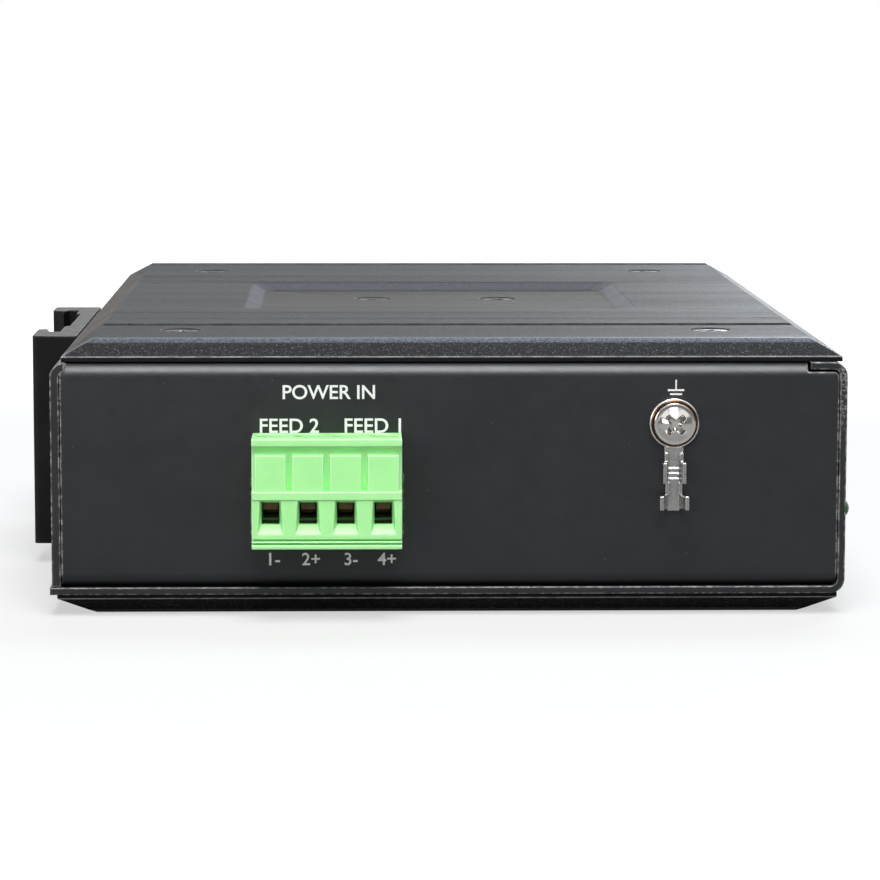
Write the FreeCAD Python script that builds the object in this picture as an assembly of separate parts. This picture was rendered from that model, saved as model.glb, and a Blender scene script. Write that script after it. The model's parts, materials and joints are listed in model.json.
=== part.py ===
import FreeCAD, Part
import math
import os

os.makedirs("parts", exist_ok=True)

# A rail-mounted converter between copper and fibre network lines, lying on its side.
# X runs from the back wall (rail clip) to the front panel (ports), Y from the terminal end to the far end,
# Z from the lower side plate to the upper one. The origin is the middle of the lower plate's flat face.
# All sizes are in millimetres.

# Folded sheet-steel body
SHEET = 1.2                  # tray's sheet: upper sheet, end walls and back wall
COVER_T = 1.0                # cover's sheet: lower sheet and front panel
FOLD_R = 2.0                 # outer radius of every fold
BODY_X = 109.0               # back wall to front panel
BODY_Y = 148.0               # terminal end to far end
BODY_Z = 32.0                # lower sheet to upper sheet
EDGE_GAP = 0.15              # gap between a wall's cut edge and the next sheet
TAB_W = 5.1                  # return along the front panel's top
TAB_GAP = 0.35               # room left round that return
COVER_PAST = 0.3             # lower sheet past the back wall
NOTCH_R = 0.7                # rounded corner of the end walls beside it

# Extruded side plates
PLATE_T = 3.0                # full thickness
PLATE_INSET = 1.0            # plates' ends inside the body's ends
UPPER_BACK = 1.5             # plates' back and front edges inside the body's
UPPER_FRONT = 0.6
LOWER_BACK = 0.6
LOWER_FRONT = 0.9
LIP_H = 0.7                  # upright edge under the bevels
BEVEL_H = 1.85               # rise of the long bevels
LONG_BEVEL = 1.9             # run of the bevels at the terminal and far ends
UPPER_BEVEL = 4.2            # run of the bevels at the back and the front
LOWER_BEVEL = 5.2
RIDGE_RUN = 0.8              # slope from the bevel up to the ridge
RIDGE_W = 1.0                # flat top of the ridge
STEP_H = 0.25                # the screw strip lies this far below the ridge
GROOVE_AT = 25.5             # groove beside the screw strip, from the body's end
GROOVE_W = 0.8
GROOVE_D = 0.3
FLUTE_PITCH = 9.0            # shallow lines between the groove and the pocket
FLUTE_W = 0.5
FLUTE_D = 0.15
FLUTES = 2
POCKET_X = 59.6              # milled pocket of the upper plate
POCKET_Y = 50.0
POCKET_D = 1.2
POCKET_SLOPE = 2.5           # run of its sloping sides
POCKET_CUT = 1.5             # its cut corners
POCKET_AT = 1.5              # pocket's middle along Y

# Screws, nuts and the holes they share
M3_R = 1.45                  # shank
THREAD_PLAY = 0.05           # shank to tapped hole, on the radius
HOLE_PLAY = 0.2              # shank to plain hole, on the radius
SUNK_R = 2.75                # countersunk head
SUNK_DEPTH = 0.2             # head lies this far below the surface
SUNK_PLAY = 0.04             # head to countersink
CROSS_L = 3.2                # cross recess, tip to tip
CROSS_W = 0.75
CROSS_D = 1.1
FLATS = 16                   # small round pieces and their bores are drawn with this many flats
NUT_R = 3.15                 # corner of a hexagonal nut
NUT_SIDES = 6
NUT_H = 2.4
THREAD_OUT = 0.6             # screw's end past its nut
SCREW_END = 19.0             # plate screws, from the body's end
SCREW_SIDE = 17.0            # plate screws, from the body's back and front
RETURN_PAST = 8.0            # lower return of an end wall, past those screws
POCKET_SCREW_PITCH = 20.0

# Rail clip on the back wall, and its spring
CLIP_Y0 = -28.0              # end nearer the terminals
CLIP_L = 50.0
CLIP_W = 31.3                # along Z
CLIP_DROP = 0.35             # clip's middle below the back wall's
CLIP_ROOM = 0.5              # lower sheet cut back round the clip
CLIP_BASE = 3.0              # seat of the rail above the wall
CLIP_SLOT = 1.6              # height of the slots under the hooks
SLOT_RISE = 0.8              # slope of the hooks' undersides
NEAR_HOOK_H = 6.6
NEAR_ROOT = 7.0              # thickness of the near hook's upright
NEAR_LIP = 4.5
FAR_HOOK_H = 7.2
FAR_ROOT = 5.8
FAR_LIP = 1.9
HOOK_R = 0.7
CLIP_TROUGH = 0.7            # relief in the middle of the rail seat
TROUGH_INSET = 4.5           # trough's ends, from the hooks' lips
CLIP_SCREW_PITCH = 14.0
SPRING_T = 0.4
SPRING_RISE = 1.9            # how far the bowed spring stands out of the slot's bottom
SPRING_L = 25.0
SPRING_W = 1.2

# Circuit board
STANDOFF_H = 5.2
STANDOFF_R = 3.0             # corner of a hexagonal standoff
STANDOFF_BORE = 1.3
BOARD_T = 1.6
BOARD_BACK = 3.0             # board's edge inside the back wall's outer face
BOARD_FRONT = 2.4
BOARD_NEAR = 2.4             # board's edge inside the terminal end
BOARD_FAR = 14.0
POST_BACK = 10.0             # rear standoffs, from the board's edge
POST_JACK = 4.5              # front standoffs, behind the copper port
POST_PAST = 5.0              # standoffs, past the end walls' lower returns
PAN_R = 2.75                 # board screws' heads
PAN_H = 1.8
BOARD_SCREW_R = 1.25
BOARD_SCREW_L = 4.0

# Pluggable screw terminal: plug, cages, screws, contacts
POLES = 4
PITCH = 5.08
PLUG_X = -16.75              # plug's middle
PLUG_DROP = 0.4              # plug's underside below the board's top
PLUG_H = 15.0
PLUG_OUT = 7.4               # plug's front ahead of the end wall
PLUG_CLEAR = 0.2             # plug's back to the end wall
RELIEF = 0.9                 # depth of the front's recesses
PLUG_LIP = 1.0               # lip along the front's top
PANEL_TOP = 12.8             # raised squares, above the plug's underside
PANEL_BASE = 7.85
PANEL_W = 4.2
RIB_BASE = 0.6               # two fine grooves under the wire holes
RIB_T = 0.25
RIB_DEPTH = 0.5
HOLE_BASE = 3.27             # wire holes, above the plug's underside
HOLE_W = 2.4
HOLE_H = 3.0
FUNNEL_FOOT = 1.2            # funnel below the hole
FUNNEL_HEAD = 0.45           # funnel above the hole
FUNNEL_SIDE = 0.2            # widening at the top of the funnel
FUNNEL_FLARE = 0.5           # widening at its foot
FUNNEL_D = 1.2
PLUG_FRONT = 2.2             # wall between the front and the cages
CAGE_X = 3.9
CAGE_Y = 3.5
CAGE_WALL = 0.7
CAGE_ROOF = 1.4
CAGE_PLAY = 0.1
CAGE_TRAVEL = 2.2
BAR_T = 1.2                  # contact bar over the wire
BAR_SHOW = 1.1               # bar's height seen in the wire hole
BAR_W = 2.0
PRONG_T = 0.7
PRONG_PLAY = 0.05            # pin to prong
PRONG_SHORT = 1.0            # prongs end inside the nose
WEB_T = 0.8
WEB_GAP = 0.2                # web to pin's tip
CONTACT_PLAY = 0.15          # contact to its tunnel
CLAMP_R = 1.2                # clamp screws
CLAMP_HEAD_R = 1.8
CLAMP_HEAD_H = 2.2
CLAMP_SINK = 0.8             # head below the plug's top
CLAMP_PLAY = 0.15
SLOT_W = 0.6
SLOT_D = 0.9

# Board header that the plug slides into
HEADER_GAP = 0.3             # header's mouth to the end wall
HEADER_L = 12.0
HEADER_BACK = 2.4
HEADER_FLOOR = 1.5
HEADER_WALL = 1.1
NOSE_H = 5.6                 # plug's nose
NOSE_INSET = 0.5             # nose narrower than the plug, each side
NOSE_PLAY = 0.2              # nose to header, each side
NOSE_END = 0.6               # nose to the header's back
PIN_T = 1.0
PIN_L = 8.3                  # pin inside the header
PIN_FIT = 0.02
PIN_TAIL = 1.6               # pin's foot behind the header
PIN_UNDER = 1.2              # pin's end under the board
PIN_HOLE = 0.1               # board's hole round a pin, each side
WALL_OPEN_X = 20.7           # opening of the end wall
WALL_OPEN_DOWN = 1.1         # opening past the nose, downwards
WALL_OPEN_UP = 1.7

# Earth connection on the end wall
EARTH_X = 30.7
EARTH_Z = 26.7
LUG_T = 0.5
LUG_RING_R = 3.2
LUG_NECK_W = 2.6
WASHER_R = 3.45
WASHER_T = 0.5
WASHER_PLAY = 0.15
EARTH_HEAD_R = 2.86
EARTH_HEAD_H = 2.1
EARTH_HEAD_EDGE = 1.1        # straight edge of the head
EARTH_TOP_R = 1.95           # flat top of the head
LUG_EDGE_H = 0.9             # low edges of the neck and the waist
LUG_EDGE_L = 1.2
LUG_TONGUE_W = 1.6
BARREL_TOP = 5.3             # wire crimp, below the screw
BARREL_L = 2.85
BARREL_FLOOR = 2.6
BARREL_W = 3.15
BARREL_H = 2.2
SERRATIONS = 3
SERRATION_W = 0.3
SERRATION_D = 0.15
GRIP_TOP = 9.9               # insulation grip, below the screw
GRIP_L = 1.9
GRIP_FLOOR = 2.6
GRIP_W = 4.0
GRIP_H = 2.4
LUG_WAIST_W = 2.3            # between the two crimps
LUG_END = 12.1

# Indicator lamps
LEDS = 4
LED_R = 1.5
LED_PITCH = 8.0
LED_FIRST = 10.0             # nearest lamp, from the terminal end
LED_UP = 2.6                 # above the board
LED_OUT = 1.9                # lamp's tip past the panel
LED_TIP = 1.1                # length of the narrowing tip
LED_TIP_R = 0.75
LED_L = 9.8
LED_HOLE_PLAY = 0.1
HOLDER_W = 4.6
HOLDER_L = 5.0
HOLDER_PAST = 0.9            # holder above the lamp

# Copper port
JACK_FAR = 38.0              # port's middle, from the far end
JACK_W = 16.0
JACK_H = 13.4
JACK_L = 21.0
JACK_OUT = 0.5               # jack's face past the panel
JACK_SKIN = 0.3
JACK_PLAY = 0.05             # insert to shield
PORT_PLAY = 0.3              # panel opening to the copper port
JACK_HOLE_W = 11.8
JACK_HOLE_H = 6.9
JACK_HOLE_UP = 5.0           # plug hole's floor above the board
JACK_HOLE_D = 13.0
LATCH_W = 6.2
LATCH_D = 1.4
LATCH_TIP_W = 4.0
LATCH_TIP_D = 1.3
WIRES = 8
WIRE_PITCH = 1.02
WIRE_T = 0.35
WIRE_DROP = 2.0              # how far the wires lean into the hole
WIRE_RUN = 7.0
BEZEL_PLAY = 0.25            # shield's opening past the plug hole

# Fibre port
PORT_PITCH = 50.0            # from the copper port's middle to the fibre port's
FIBRE_W = 14.5
FIBRE_H = 9.8
FIBRE_L = 47.0
FIBRE_OUT = 0.9              # cage's mouth past the panel
FIBRE_SKIN = 0.3
FIBRE_FOOT = 14.0            # open underside over the connector
FINGER_T = 0.2
FINGER_W = 1.7
FINGER_PITCH = 2.5
FINGER_L = 4.0
FINGER_RISE = 0.6            # fingers' bow, and the panel opening round the cage
FIBRE_PLUG_W = 12.2          # connector at the cage's inner end
FIBRE_PLUG_H = 5.4
FIBRE_PLUG_L = 6.5
FIBRE_PLUG_IN = 2.5          # connector to the cage's back
FIBRE_SLOT_W = 9.6
FIBRE_SLOT_H = 1.3
FIBRE_SLOT_UP = 2.6
FIBRE_SLOT_D = 4.0

# Parts on the board, with their places
CHIP_W = 14.0
CHIP_H = 1.4
PAD_T = 0.8
BLOCK_X = 30.0               # aluminium block between the chip and the upper plate
BLOCK_Y = 20.0
BLOCK_GAP = 5.95             # fibre cage's side to the block
BLOCK_PLAY = 0.4             # window of the upper sheet round the block
BLOCK_SCREW_L = 6.0
CAN_R = 5.0
CAN_H = 16.0
CAN_RIM = 0.6                # bevel round a can's top
CANS = 2
CAN_BACK = 11.5              # cans, from the board's back edge
CAN_PITCH = 13.0
CAN_NEAR = 43.6              # first can, from the board's near edge
CORE_W = 18.0
CORE_H = 12.0
CORE_X = -14.0
CORE_NEAR = 33.6             # from the board's near edge
COIL_W = 10.4
COIL_PAST = 2.2
CHOKE_W = 12.0
CHOKE_H = 6.0
CHOKE_CUT = 1.6              # cut corners
CHOKE_X = 12.0
CHOKE_NEAR = 29.6            # from the board's near edge
DIODES = 4
DIODE_X = 5.0
DIODE_Y = 3.6
DIODE_H = 2.3
DIODE_ROW = 5.0              # behind the header's pins
LINE_GAP = 1.5               # line transformer to the standoff beside it
LINE_L = 14.0
LINE_W = 16.0
LINE_H = 6.0
CRYSTAL_L = 11.0
CRYSTAL_W = 4.6
CRYSTAL_H = 3.5
CRYSTAL_CUT = 1.4            # cut corners
CRYSTAL_BACK = 25.5          # from the board's back edge
CRYSTAL_FAR = 40.0           # from the board's far edge

# Levels and edges that follow from the sizes above
Z_LOW = PLATE_T
Z_FLOOR = Z_LOW + COVER_T
Z_TOP = PLATE_T + BODY_Z
Z_CEIL = Z_TOP - SHEET
X_BACK = -BODY_X / 2
X_FRONT = BODY_X / 2
Y_NEAR = -BODY_Y / 2
Y_FAR = BODY_Y / 2
Z_BOARD = Z_FLOOR + STANDOFF_H
Z_PARTS = Z_BOARD + BOARD_T
TRAY_END = X_FRONT - TAB_W - TAB_GAP
PLUG_Z = Z_PARTS - PLUG_DROP
PLUG_W = POLES * PITCH
PLUG_Y0 = Y_NEAR - PLUG_OUT
PLUG_Y1 = Y_NEAR - PLUG_CLEAR
HEADER_Y0 = Y_NEAR + SHEET + HEADER_GAP
HEADER_Y1 = HEADER_Y0 + HEADER_L
HEADER_IN = HEADER_Y1 - HEADER_BACK
NOSE_Y1 = HEADER_IN - NOSE_END
NOSE_Z = Z_PARTS + HEADER_FLOOR + NOSE_PLAY
NOSE_W = PLUG_W - 2 * NOSE_INSET
PIN_Z = NOSE_Z + NOSE_H / 2
PIN_TIP = HEADER_IN - PIN_L
BAR_BASE = PLUG_Z + HOLE_BASE + HOLE_H - BAR_SHOW
BAR_TOP = BAR_BASE + BAR_T
CAGE_Y0 = PLUG_Y0 + PLUG_FRONT + CAGE_PLAY
CAGE_MID = CAGE_Y0 + CAGE_Y / 2
CAGE_FLOOR = PLUG_Z + HOLE_BASE - CAGE_PLAY
CAGE_TOP = BAR_TOP + CAGE_PLAY + CAGE_ROOF
SCREW_SPOTS_X = [X_BACK + SCREW_SIDE, X_FRONT - SCREW_SIDE]
SCREW_SPOTS_Y = [Y_NEAR + SCREW_END, Y_FAR - SCREW_END]
POLE_SPOTS = [PLUG_X + (i - (POLES - 1) / 2) * PITCH for i in range(POLES)]
LED_SPOTS = [Y_NEAR + LED_FIRST + i * LED_PITCH for i in range(LEDS)]
Z_LED = Z_PARTS + LED_UP
CLIP_MID = CLIP_Y0 + (NEAR_ROOT + NEAR_LIP + CLIP_L - FAR_ROOT - FAR_LIP) / 2
CLIP_SPOTS = [CLIP_MID - CLIP_SCREW_PITCH / 2, CLIP_MID + CLIP_SCREW_PITCH / 2]
Z_CLIP = Z_LOW + BODY_Z / 2 - CLIP_DROP
BOARD_X0 = X_BACK + BOARD_BACK
BOARD_X1 = X_FRONT - BOARD_FRONT
BOARD_Y0 = Y_NEAR + BOARD_NEAR
BOARD_Y1 = Y_FAR - BOARD_FAR
JACK_FACE = X_FRONT + JACK_OUT
JACK_Y = Y_FAR - JACK_FAR
FIBRE_Y = JACK_Y - PORT_PITCH
POCKET_SCREW_Y = FIBRE_Y + FIBRE_W / 2 + BLOCK_GAP + BLOCK_Y / 2
RETURN_W = SCREW_END + RETURN_PAST
POST_X = JACK_FACE - JACK_L - POST_JACK
POST_Y = Y_FAR - RETURN_W - POST_PAST
POST_SPOTS = [(x, y) for x in (BOARD_X0 + POST_BACK, POST_X) for y in (-POST_Y, POST_Y)]
FIBRE_FACE = X_FRONT + FIBRE_OUT
POCKET_FLOOR = PLATE_T - POCKET_D
SUNK_MOUTH = SUNK_R + SUNK_DEPTH + SUNK_PLAY

AROUND = [(-1, -1), (1, -1), (1, 1), (-1, 1)]
UP = FreeCAD.Vector(0, 0, 1)
DOWN = FreeCAD.Vector(0, 0, -1)
INWARD = FreeCAD.Vector(0, 1, 0)
FORWARD = FreeCAD.Vector(1, 0, 0)


def point(x, y, z):
    return FreeCAD.Vector(x, y, z)


def box(x0, x1, y0, y1, z0, z1):
    return Part.makeBox(x1 - x0, y1 - y0, z1 - z0, point(x0, y0, z0))


def rod(radius, start, axis, length):
    return Part.makeCylinder(radius, length, start, axis)


def joined(shapes):
    whole = shapes[0].multiFuse(shapes[1:])
    return whole.removeSplitter()


def flat(spots):
    return Part.Face(Part.makePolygon(spots + spots[:1]))


def ring(radius, sides, middle, axis):
    """Corners of a regular polygon round an axis."""
    turn = FreeCAD.Rotation(UP, axis)
    spots = []
    for i in range(sides):
        angle = 2 * math.pi * i / sides
        spots.append(middle + turn.multVec(point(math.cos(angle), math.sin(angle), 0)) * radius)
    return spots


def between(first, second):
    """The solid between two polygons with as many corners, all its faces flat."""
    faces = [flat(first), flat(second)]
    for i in range(len(first)):
        faces.append(flat([first[i - 1], first[i], second[i]]))
        faces.append(flat([first[i - 1], second[i], second[i - 1]]))
    solid = Part.Solid(Part.Shell(faces)).removeSplitter()
    if solid.Volume < 0:
        solid.reverse()
    return solid


def stud(radius, start, axis, length, sides=FLATS):
    """A shank, bore or nut with flats."""
    return flat(ring(radius, sides, start, axis)).extrude(axis * length)


def taper(radius, end_radius, start, axis, length):
    """A narrowing piece with flats."""
    return between(ring(radius, FLATS, start, axis), ring(end_radius, FLATS, start + axis * length, axis))


def placed(u, v, along):
    """A point of a flat outline that is to be pushed along the X, Y or Z axis."""
    if along == "x":
        return point(0, u, v)
    if along == "y":
        return point(u, 0, v)
    return point(u, v, 0)


def outline(corners, along):
    """A closed wire through (u, v, radius) corners, with a tangent arc wherever the radius isn't zero."""
    runs = []
    count = len(corners)
    for i in range(count):
        u, v, radius = corners[i]
        here = placed(u, v, along)
        if radius == 0:
            runs.append((here, here, None))
            continue
        before = placed(corners[i - 1][0], corners[i - 1][1], along) - here
        after = placed(corners[(i + 1) % count][0], corners[(i + 1) % count][1], along) - here
        before.normalize()
        after.normalize()
        half = before.getAngle(after) / 2
        middle = before + after
        middle.normalize()
        reach = radius / math.tan(half)
        bulge = radius / math.sin(half) - radius
        runs.append((here + before * reach, here + after * reach, here + middle * bulge))
    edges = []
    for i in range(count):
        start, end, via = runs[i]
        if via is not None:
            edges.append(Part.Arc(start, via, end).toShape())
        following = runs[(i + 1) % count][0]
        if end.distanceToPoint(following) > 1e-6:
            edges.append(Part.LineSegment(end, following).toShape())
    return Part.Wire(edges)


def pushed(corners, along, start, length):
    """The outline as a solid, from start, over length, along the X, Y or Z axis."""
    axis = {"x": FORWARD, "y": INWARD, "z": UP}[along]
    solid = Part.Face(outline(corners, along)).extrude(axis * length)
    solid.translate(axis * start)
    return solid


def folded(path, thick, along, start, length):
    """A sheet folded along a path of its outer face, with the sheet on the path's left."""
    outer = []
    inner = []
    last = len(path) - 1
    for i in range(last + 1):
        normals = []
        for a, b in ((i - 1, i), (i, i + 1)):
            if a >= 0 and b <= last:
                du = path[b][0] - path[a][0]
                dv = path[b][1] - path[a][1]
                size = math.hypot(du, dv)
                normals.append((-dv / size, du / size))
        shift_u = sum(n[0] for n in normals) * thick
        shift_v = sum(n[1] for n in normals) * thick
        bend = 0 < i < last
        outer.append((path[i][0], path[i][1], FOLD_R if bend else 0))
        inner.append((path[i][0] + shift_u, path[i][1] + shift_v, FOLD_R - thick if bend else 0))
    return pushed(outer + inner[::-1], along, start, length)


def cross(top, axis):
    """Cross recess sunk from a head's top, with its arms at 45 degrees."""
    arm = CROSS_L / 2
    side = CROSS_W / 2
    bars = []
    for turn in (45, 135):
        bar = box(-arm, arm, -side, side, -CROSS_D, CROSS_D)
        bar.rotate(point(0, 0, 0), UP, turn)
        bars.append(bar)
    cut = joined(bars)
    cut.Placement = FreeCAD.Placement(top, FreeCAD.Rotation(UP, axis)).multiply(cut.Placement)
    return cut


def sunk_screw(surface, inward, length):
    """Countersunk screw below a point of a surface, ending the given length under that point."""
    top = surface + inward * SUNK_DEPTH
    head = taper(SUNK_R, M3_R, top, inward, SUNK_R - M3_R)
    shank = stud(M3_R, top, inward, length - SUNK_DEPTH)
    return joined([head, shank]).cut(cross(top, inward * -1))


def sunk_hole(surface, inward, depth):
    """Countersunk plain hole for such a screw."""
    hole = M3_R + HOLE_PLAY
    mouth = taper(SUNK_MOUTH, hole, surface, inward, SUNK_MOUTH - hole)
    return mouth.fuse(stud(hole, surface, inward, depth))


def nut(seat, axis):
    """Hexagonal nut standing on a sheet."""
    return stud(NUT_R, seat, axis, NUT_H, NUT_SIDES).cut(stud(M3_R + THREAD_PLAY, seat, axis, NUT_H))


def plate_spots(z):
    return [point(x, y, z) for x in SCREW_SPOTS_X for y in SCREW_SPOTS_Y]


def pocket_spots(z):
    half = POCKET_SCREW_PITCH / 2
    return [point(x, POCKET_SCREW_Y, z) for x in (-half, half)]


def off_corner(x, z, radius, inside):
    """What rounding takes off a corner of the end walls; inside is 1 if the wall lies above it, else -1."""
    foot = z + inside * radius
    corners = [(x - radius, z, 0), (x, z, radius), (x, foot, 0), (x + radius, foot, 0),
               (x + radius, z - inside * radius, 0), (x - radius, z - inside * radius, 0)]
    return pushed(corners, "y", Y_NEAR, BODY_Y)


def chassis_tray():
    """Upper sheet with both end walls and the back wall folded down from it."""
    wall_x0 = X_BACK + SHEET + EDGE_GAP
    wall_x1 = X_FRONT - COVER_T - EDGE_GAP
    path = [(Y_NEAR + FOLD_R, Z_TOP), (Y_NEAR, Z_TOP), (Y_NEAR, Z_FLOOR), (Y_NEAR + RETURN_W, Z_FLOOR)]
    near = folded(path, SHEET, "x", wall_x0, wall_x1 - wall_x0)
    far = near.mirror(point(0, 0, 0), INWARD)
    back = folded([(X_BACK + FOLD_R, Z_TOP), (X_BACK, Z_TOP), (X_BACK, Z_FLOOR + EDGE_GAP)],
                  SHEET, "y", Y_NEAR, BODY_Y)
    sheet = box(X_BACK + FOLD_R, TRAY_END, Y_NEAR + FOLD_R, Y_FAR - FOLD_R, Z_CEIL, Z_TOP)
    tray = joined([sheet, near, far, back])

    notch_z = Z_TOP - COVER_T - TAB_GAP
    tray = tray.cut(box(TRAY_END, X_FRONT, Y_NEAR, Y_FAR, notch_z, Z_TOP))
    cuts = [off_corner(wall_x1, notch_z, NOTCH_R, -1), off_corner(wall_x1, Z_FLOOR, FOLD_R - COVER_T, 1)]
    cuts.append(box(PLUG_X - WALL_OPEN_X / 2, PLUG_X + WALL_OPEN_X / 2, Y_NEAR, Y_NEAR + SHEET,
                    NOSE_Z - WALL_OPEN_DOWN, NOSE_Z + NOSE_H + WALL_OPEN_UP))
    half_x = BLOCK_X / 2 + BLOCK_PLAY
    half_y = BLOCK_Y / 2 + BLOCK_PLAY
    cuts.append(box(-half_x, half_x, POCKET_SCREW_Y - half_y, POCKET_SCREW_Y + half_y, Z_CEIL, Z_TOP))
    tapped = M3_R + THREAD_PLAY
    for spot in plate_spots(Z_CEIL) + plate_spots(Z_FLOOR):
        cuts.append(stud(tapped, spot, UP, SHEET))
    cuts.append(stud(tapped, point(EARTH_X, Y_NEAR, EARTH_Z), INWARD, SHEET))
    for y in CLIP_SPOTS:
        cuts.append(stud(tapped, point(X_BACK, y, Z_CLIP), FORWARD, SHEET))
    return tray.cut(cuts)


def front_cover():
    """Lower sheet, front panel and the narrow return along the panel's top."""
    path = [(X_BACK - COVER_PAST, Z_LOW), (X_FRONT, Z_LOW), (X_FRONT, Z_TOP), (X_FRONT - TAB_W, Z_TOP)]
    cover = folded(path, COVER_T, "y", Y_NEAR, BODY_Y)
    inside = X_FRONT - COVER_T
    cuts = [stud(M3_R + HOLE_PLAY, spot, UP, COVER_T) for spot in plate_spots(Z_LOW)]
    for y in LED_SPOTS:
        cuts.append(stud(LED_R + LED_HOLE_PLAY, point(inside, y, Z_LED), FORWARD, COVER_T))
    ports = [(JACK_Y, JACK_W, JACK_H, PORT_PLAY), (FIBRE_Y, FIBRE_W, FIBRE_H, FINGER_RISE)]
    for middle, width, height, room in ports:
        half = width / 2 + room
        low = Z_PARTS - room
        cuts.append(box(inside, X_FRONT, middle - half, middle + half, low, Z_PARTS + height + room))
    near = CLIP_Y0 - CLIP_ROOM
    far = CLIP_Y0 + CLIP_L + CLIP_ROOM
    cuts.append(box(X_BACK - COVER_PAST, X_BACK, near, far, Z_LOW, Z_FLOOR))
    return cover.cut(cuts)


def plate_blank(back, front, bevel):
    """Extruded plate, face up, with its mating face at Z = 0; back and front are its insets from the body."""
    edge_y = Y_FAR - PLATE_INSET
    back_x = X_BACK + back
    front_x = X_FRONT - front
    shoulder = LIP_H + BEVEL_H
    ridge = edge_y - LONG_BEVEL - RIDGE_RUN
    strip = PLATE_T - STEP_H
    groove = Y_FAR - GROOVE_AT
    half = [(edge_y, 0, 0), (edge_y, LIP_H, 0), (edge_y - LONG_BEVEL, shoulder, 0), (ridge, PLATE_T, 0),
            (ridge - RIDGE_W, PLATE_T, 0), (ridge - RIDGE_W, strip, 0),
            (groove, strip, 0), (groove, PLATE_T - GROOVE_D, 0),
            (groove - GROOVE_W, PLATE_T - GROOVE_D, 0), (groove - GROOVE_W, PLATE_T, 0)]
    for i in range(FLUTES):
        flute = groove - (i + 1) * FLUTE_PITCH
        half.append((flute, PLATE_T, 0))
        half.append((flute - FLUTE_W / 2, PLATE_T - FLUTE_D, 0))
        half.append((flute - FLUTE_W, PLATE_T, 0))
    other = [(-y, z, r) for y, z, r in half[::-1]]
    plate = pushed(half + other, "x", back_x, front_x - back_x)
    past = bevel * LIP_H / (PLATE_T - LIP_H)
    cuts = [sunk_hole(spot, DOWN, strip) for spot in plate_spots(strip)]
    for edge, inward in ((back_x, 1), (front_x, -1)):
        tip = edge + inward * (bevel + past)
        wedge = [(edge, LIP_H, 0), (tip, PLATE_T + LIP_H, 0), (edge, PLATE_T + LIP_H, 0)]
        cuts.append(pushed(wedge, "y", -edge_y, 2 * edge_y))
    return plate.cut(cuts)


def side_plate_upper():
    plate = plate_blank(UPPER_BACK, UPPER_FRONT, UPPER_BEVEL)
    loops = []
    for inset, z in ((0, PLATE_T), (POCKET_SLOPE, POCKET_FLOOR)):
        corners = eight_corners(0, POCKET_AT, POCKET_X - 2 * inset, POCKET_Y - 2 * inset, POCKET_CUT)
        loops.append([point(x, y, z) for x, y in corners])
    plate = plate.cut(between(loops[0], loops[1]))
    plate = plate.cut([sunk_hole(spot, DOWN, POCKET_FLOOR) for spot in pocket_spots(POCKET_FLOOR)])
    plate.translate(UP * Z_TOP)
    return plate


def side_plate_lower():
    plate = plate_blank(LOWER_BACK, LOWER_FRONT, LOWER_BEVEL)
    plate.rotate(point(0, 0, 0), FORWARD, 180)
    plate.translate(UP * PLATE_T)
    return plate


def upper_plate_screws():
    surface = Z_TOP + PLATE_T - STEP_H
    length = surface - Z_CEIL + NUT_H + THREAD_OUT
    return Part.Compound([sunk_screw(spot, DOWN, length) for spot in plate_spots(surface)])


def lower_plate_screws():
    length = Z_FLOOR + SHEET - STEP_H + NUT_H + THREAD_OUT
    return Part.Compound([sunk_screw(spot, UP, length) for spot in plate_spots(STEP_H)])


def pocket_screws():
    surface = Z_TOP + POCKET_FLOOR
    length = POCKET_FLOOR + BLOCK_SCREW_L
    return Part.Compound([sunk_screw(spot, DOWN, length) for spot in pocket_spots(surface)])


def tray_nuts():
    """Press nuts under the upper sheet and on the lower returns."""
    nuts = [nut(spot, DOWN) for spot in plate_spots(Z_CEIL)]
    nuts += [nut(spot, UP) for spot in plate_spots(Z_FLOOR + SHEET)]
    return Part.Compound(nuts)


def clip_point(along, out):
    """Outline corner of the clip, from its near end and from the back wall."""
    return X_BACK - out, CLIP_Y0 + along


def din_clip():
    """Extruded clip: a seat for the rail between a long hook and a short one."""
    slot_top = CLIP_BASE + CLIP_SLOT
    far_root = CLIP_L - FAR_ROOT
    near_tip = NEAR_ROOT + NEAR_LIP
    far_tip = far_root - FAR_LIP
    trough = CLIP_BASE - CLIP_TROUGH
    shape = [(0, 0, 0), (CLIP_L, 0, 0), (CLIP_L, FAR_HOOK_H, HOOK_R), (far_tip + HOOK_R, FAR_HOOK_H, HOOK_R),
             (far_tip, slot_top + SLOT_RISE, 0), (far_root, slot_top, 0), (far_root, CLIP_BASE, 0),
             (far_tip - TROUGH_INSET, CLIP_BASE, 0), (far_tip - TROUGH_INSET - CLIP_TROUGH, trough, 0),
             (near_tip + TROUGH_INSET + CLIP_TROUGH, trough, 0), (near_tip + TROUGH_INSET, CLIP_BASE, 0),
             (NEAR_ROOT, CLIP_BASE, 0), (NEAR_ROOT, slot_top, 0), (near_tip, slot_top + SLOT_RISE, 0),
             (near_tip - HOOK_R, NEAR_HOOK_H, HOOK_R), (0, NEAR_HOOK_H, HOOK_R)]
    corners = [clip_point(along, out) + (radius,) for along, out, radius in shape]
    clip = pushed(corners, "z", Z_CLIP - CLIP_W / 2, CLIP_W)
    holes = [sunk_hole(point(X_BACK - trough, y, Z_CLIP), FORWARD, trough) for y in CLIP_SPOTS]
    return clip.cut(holes)


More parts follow.
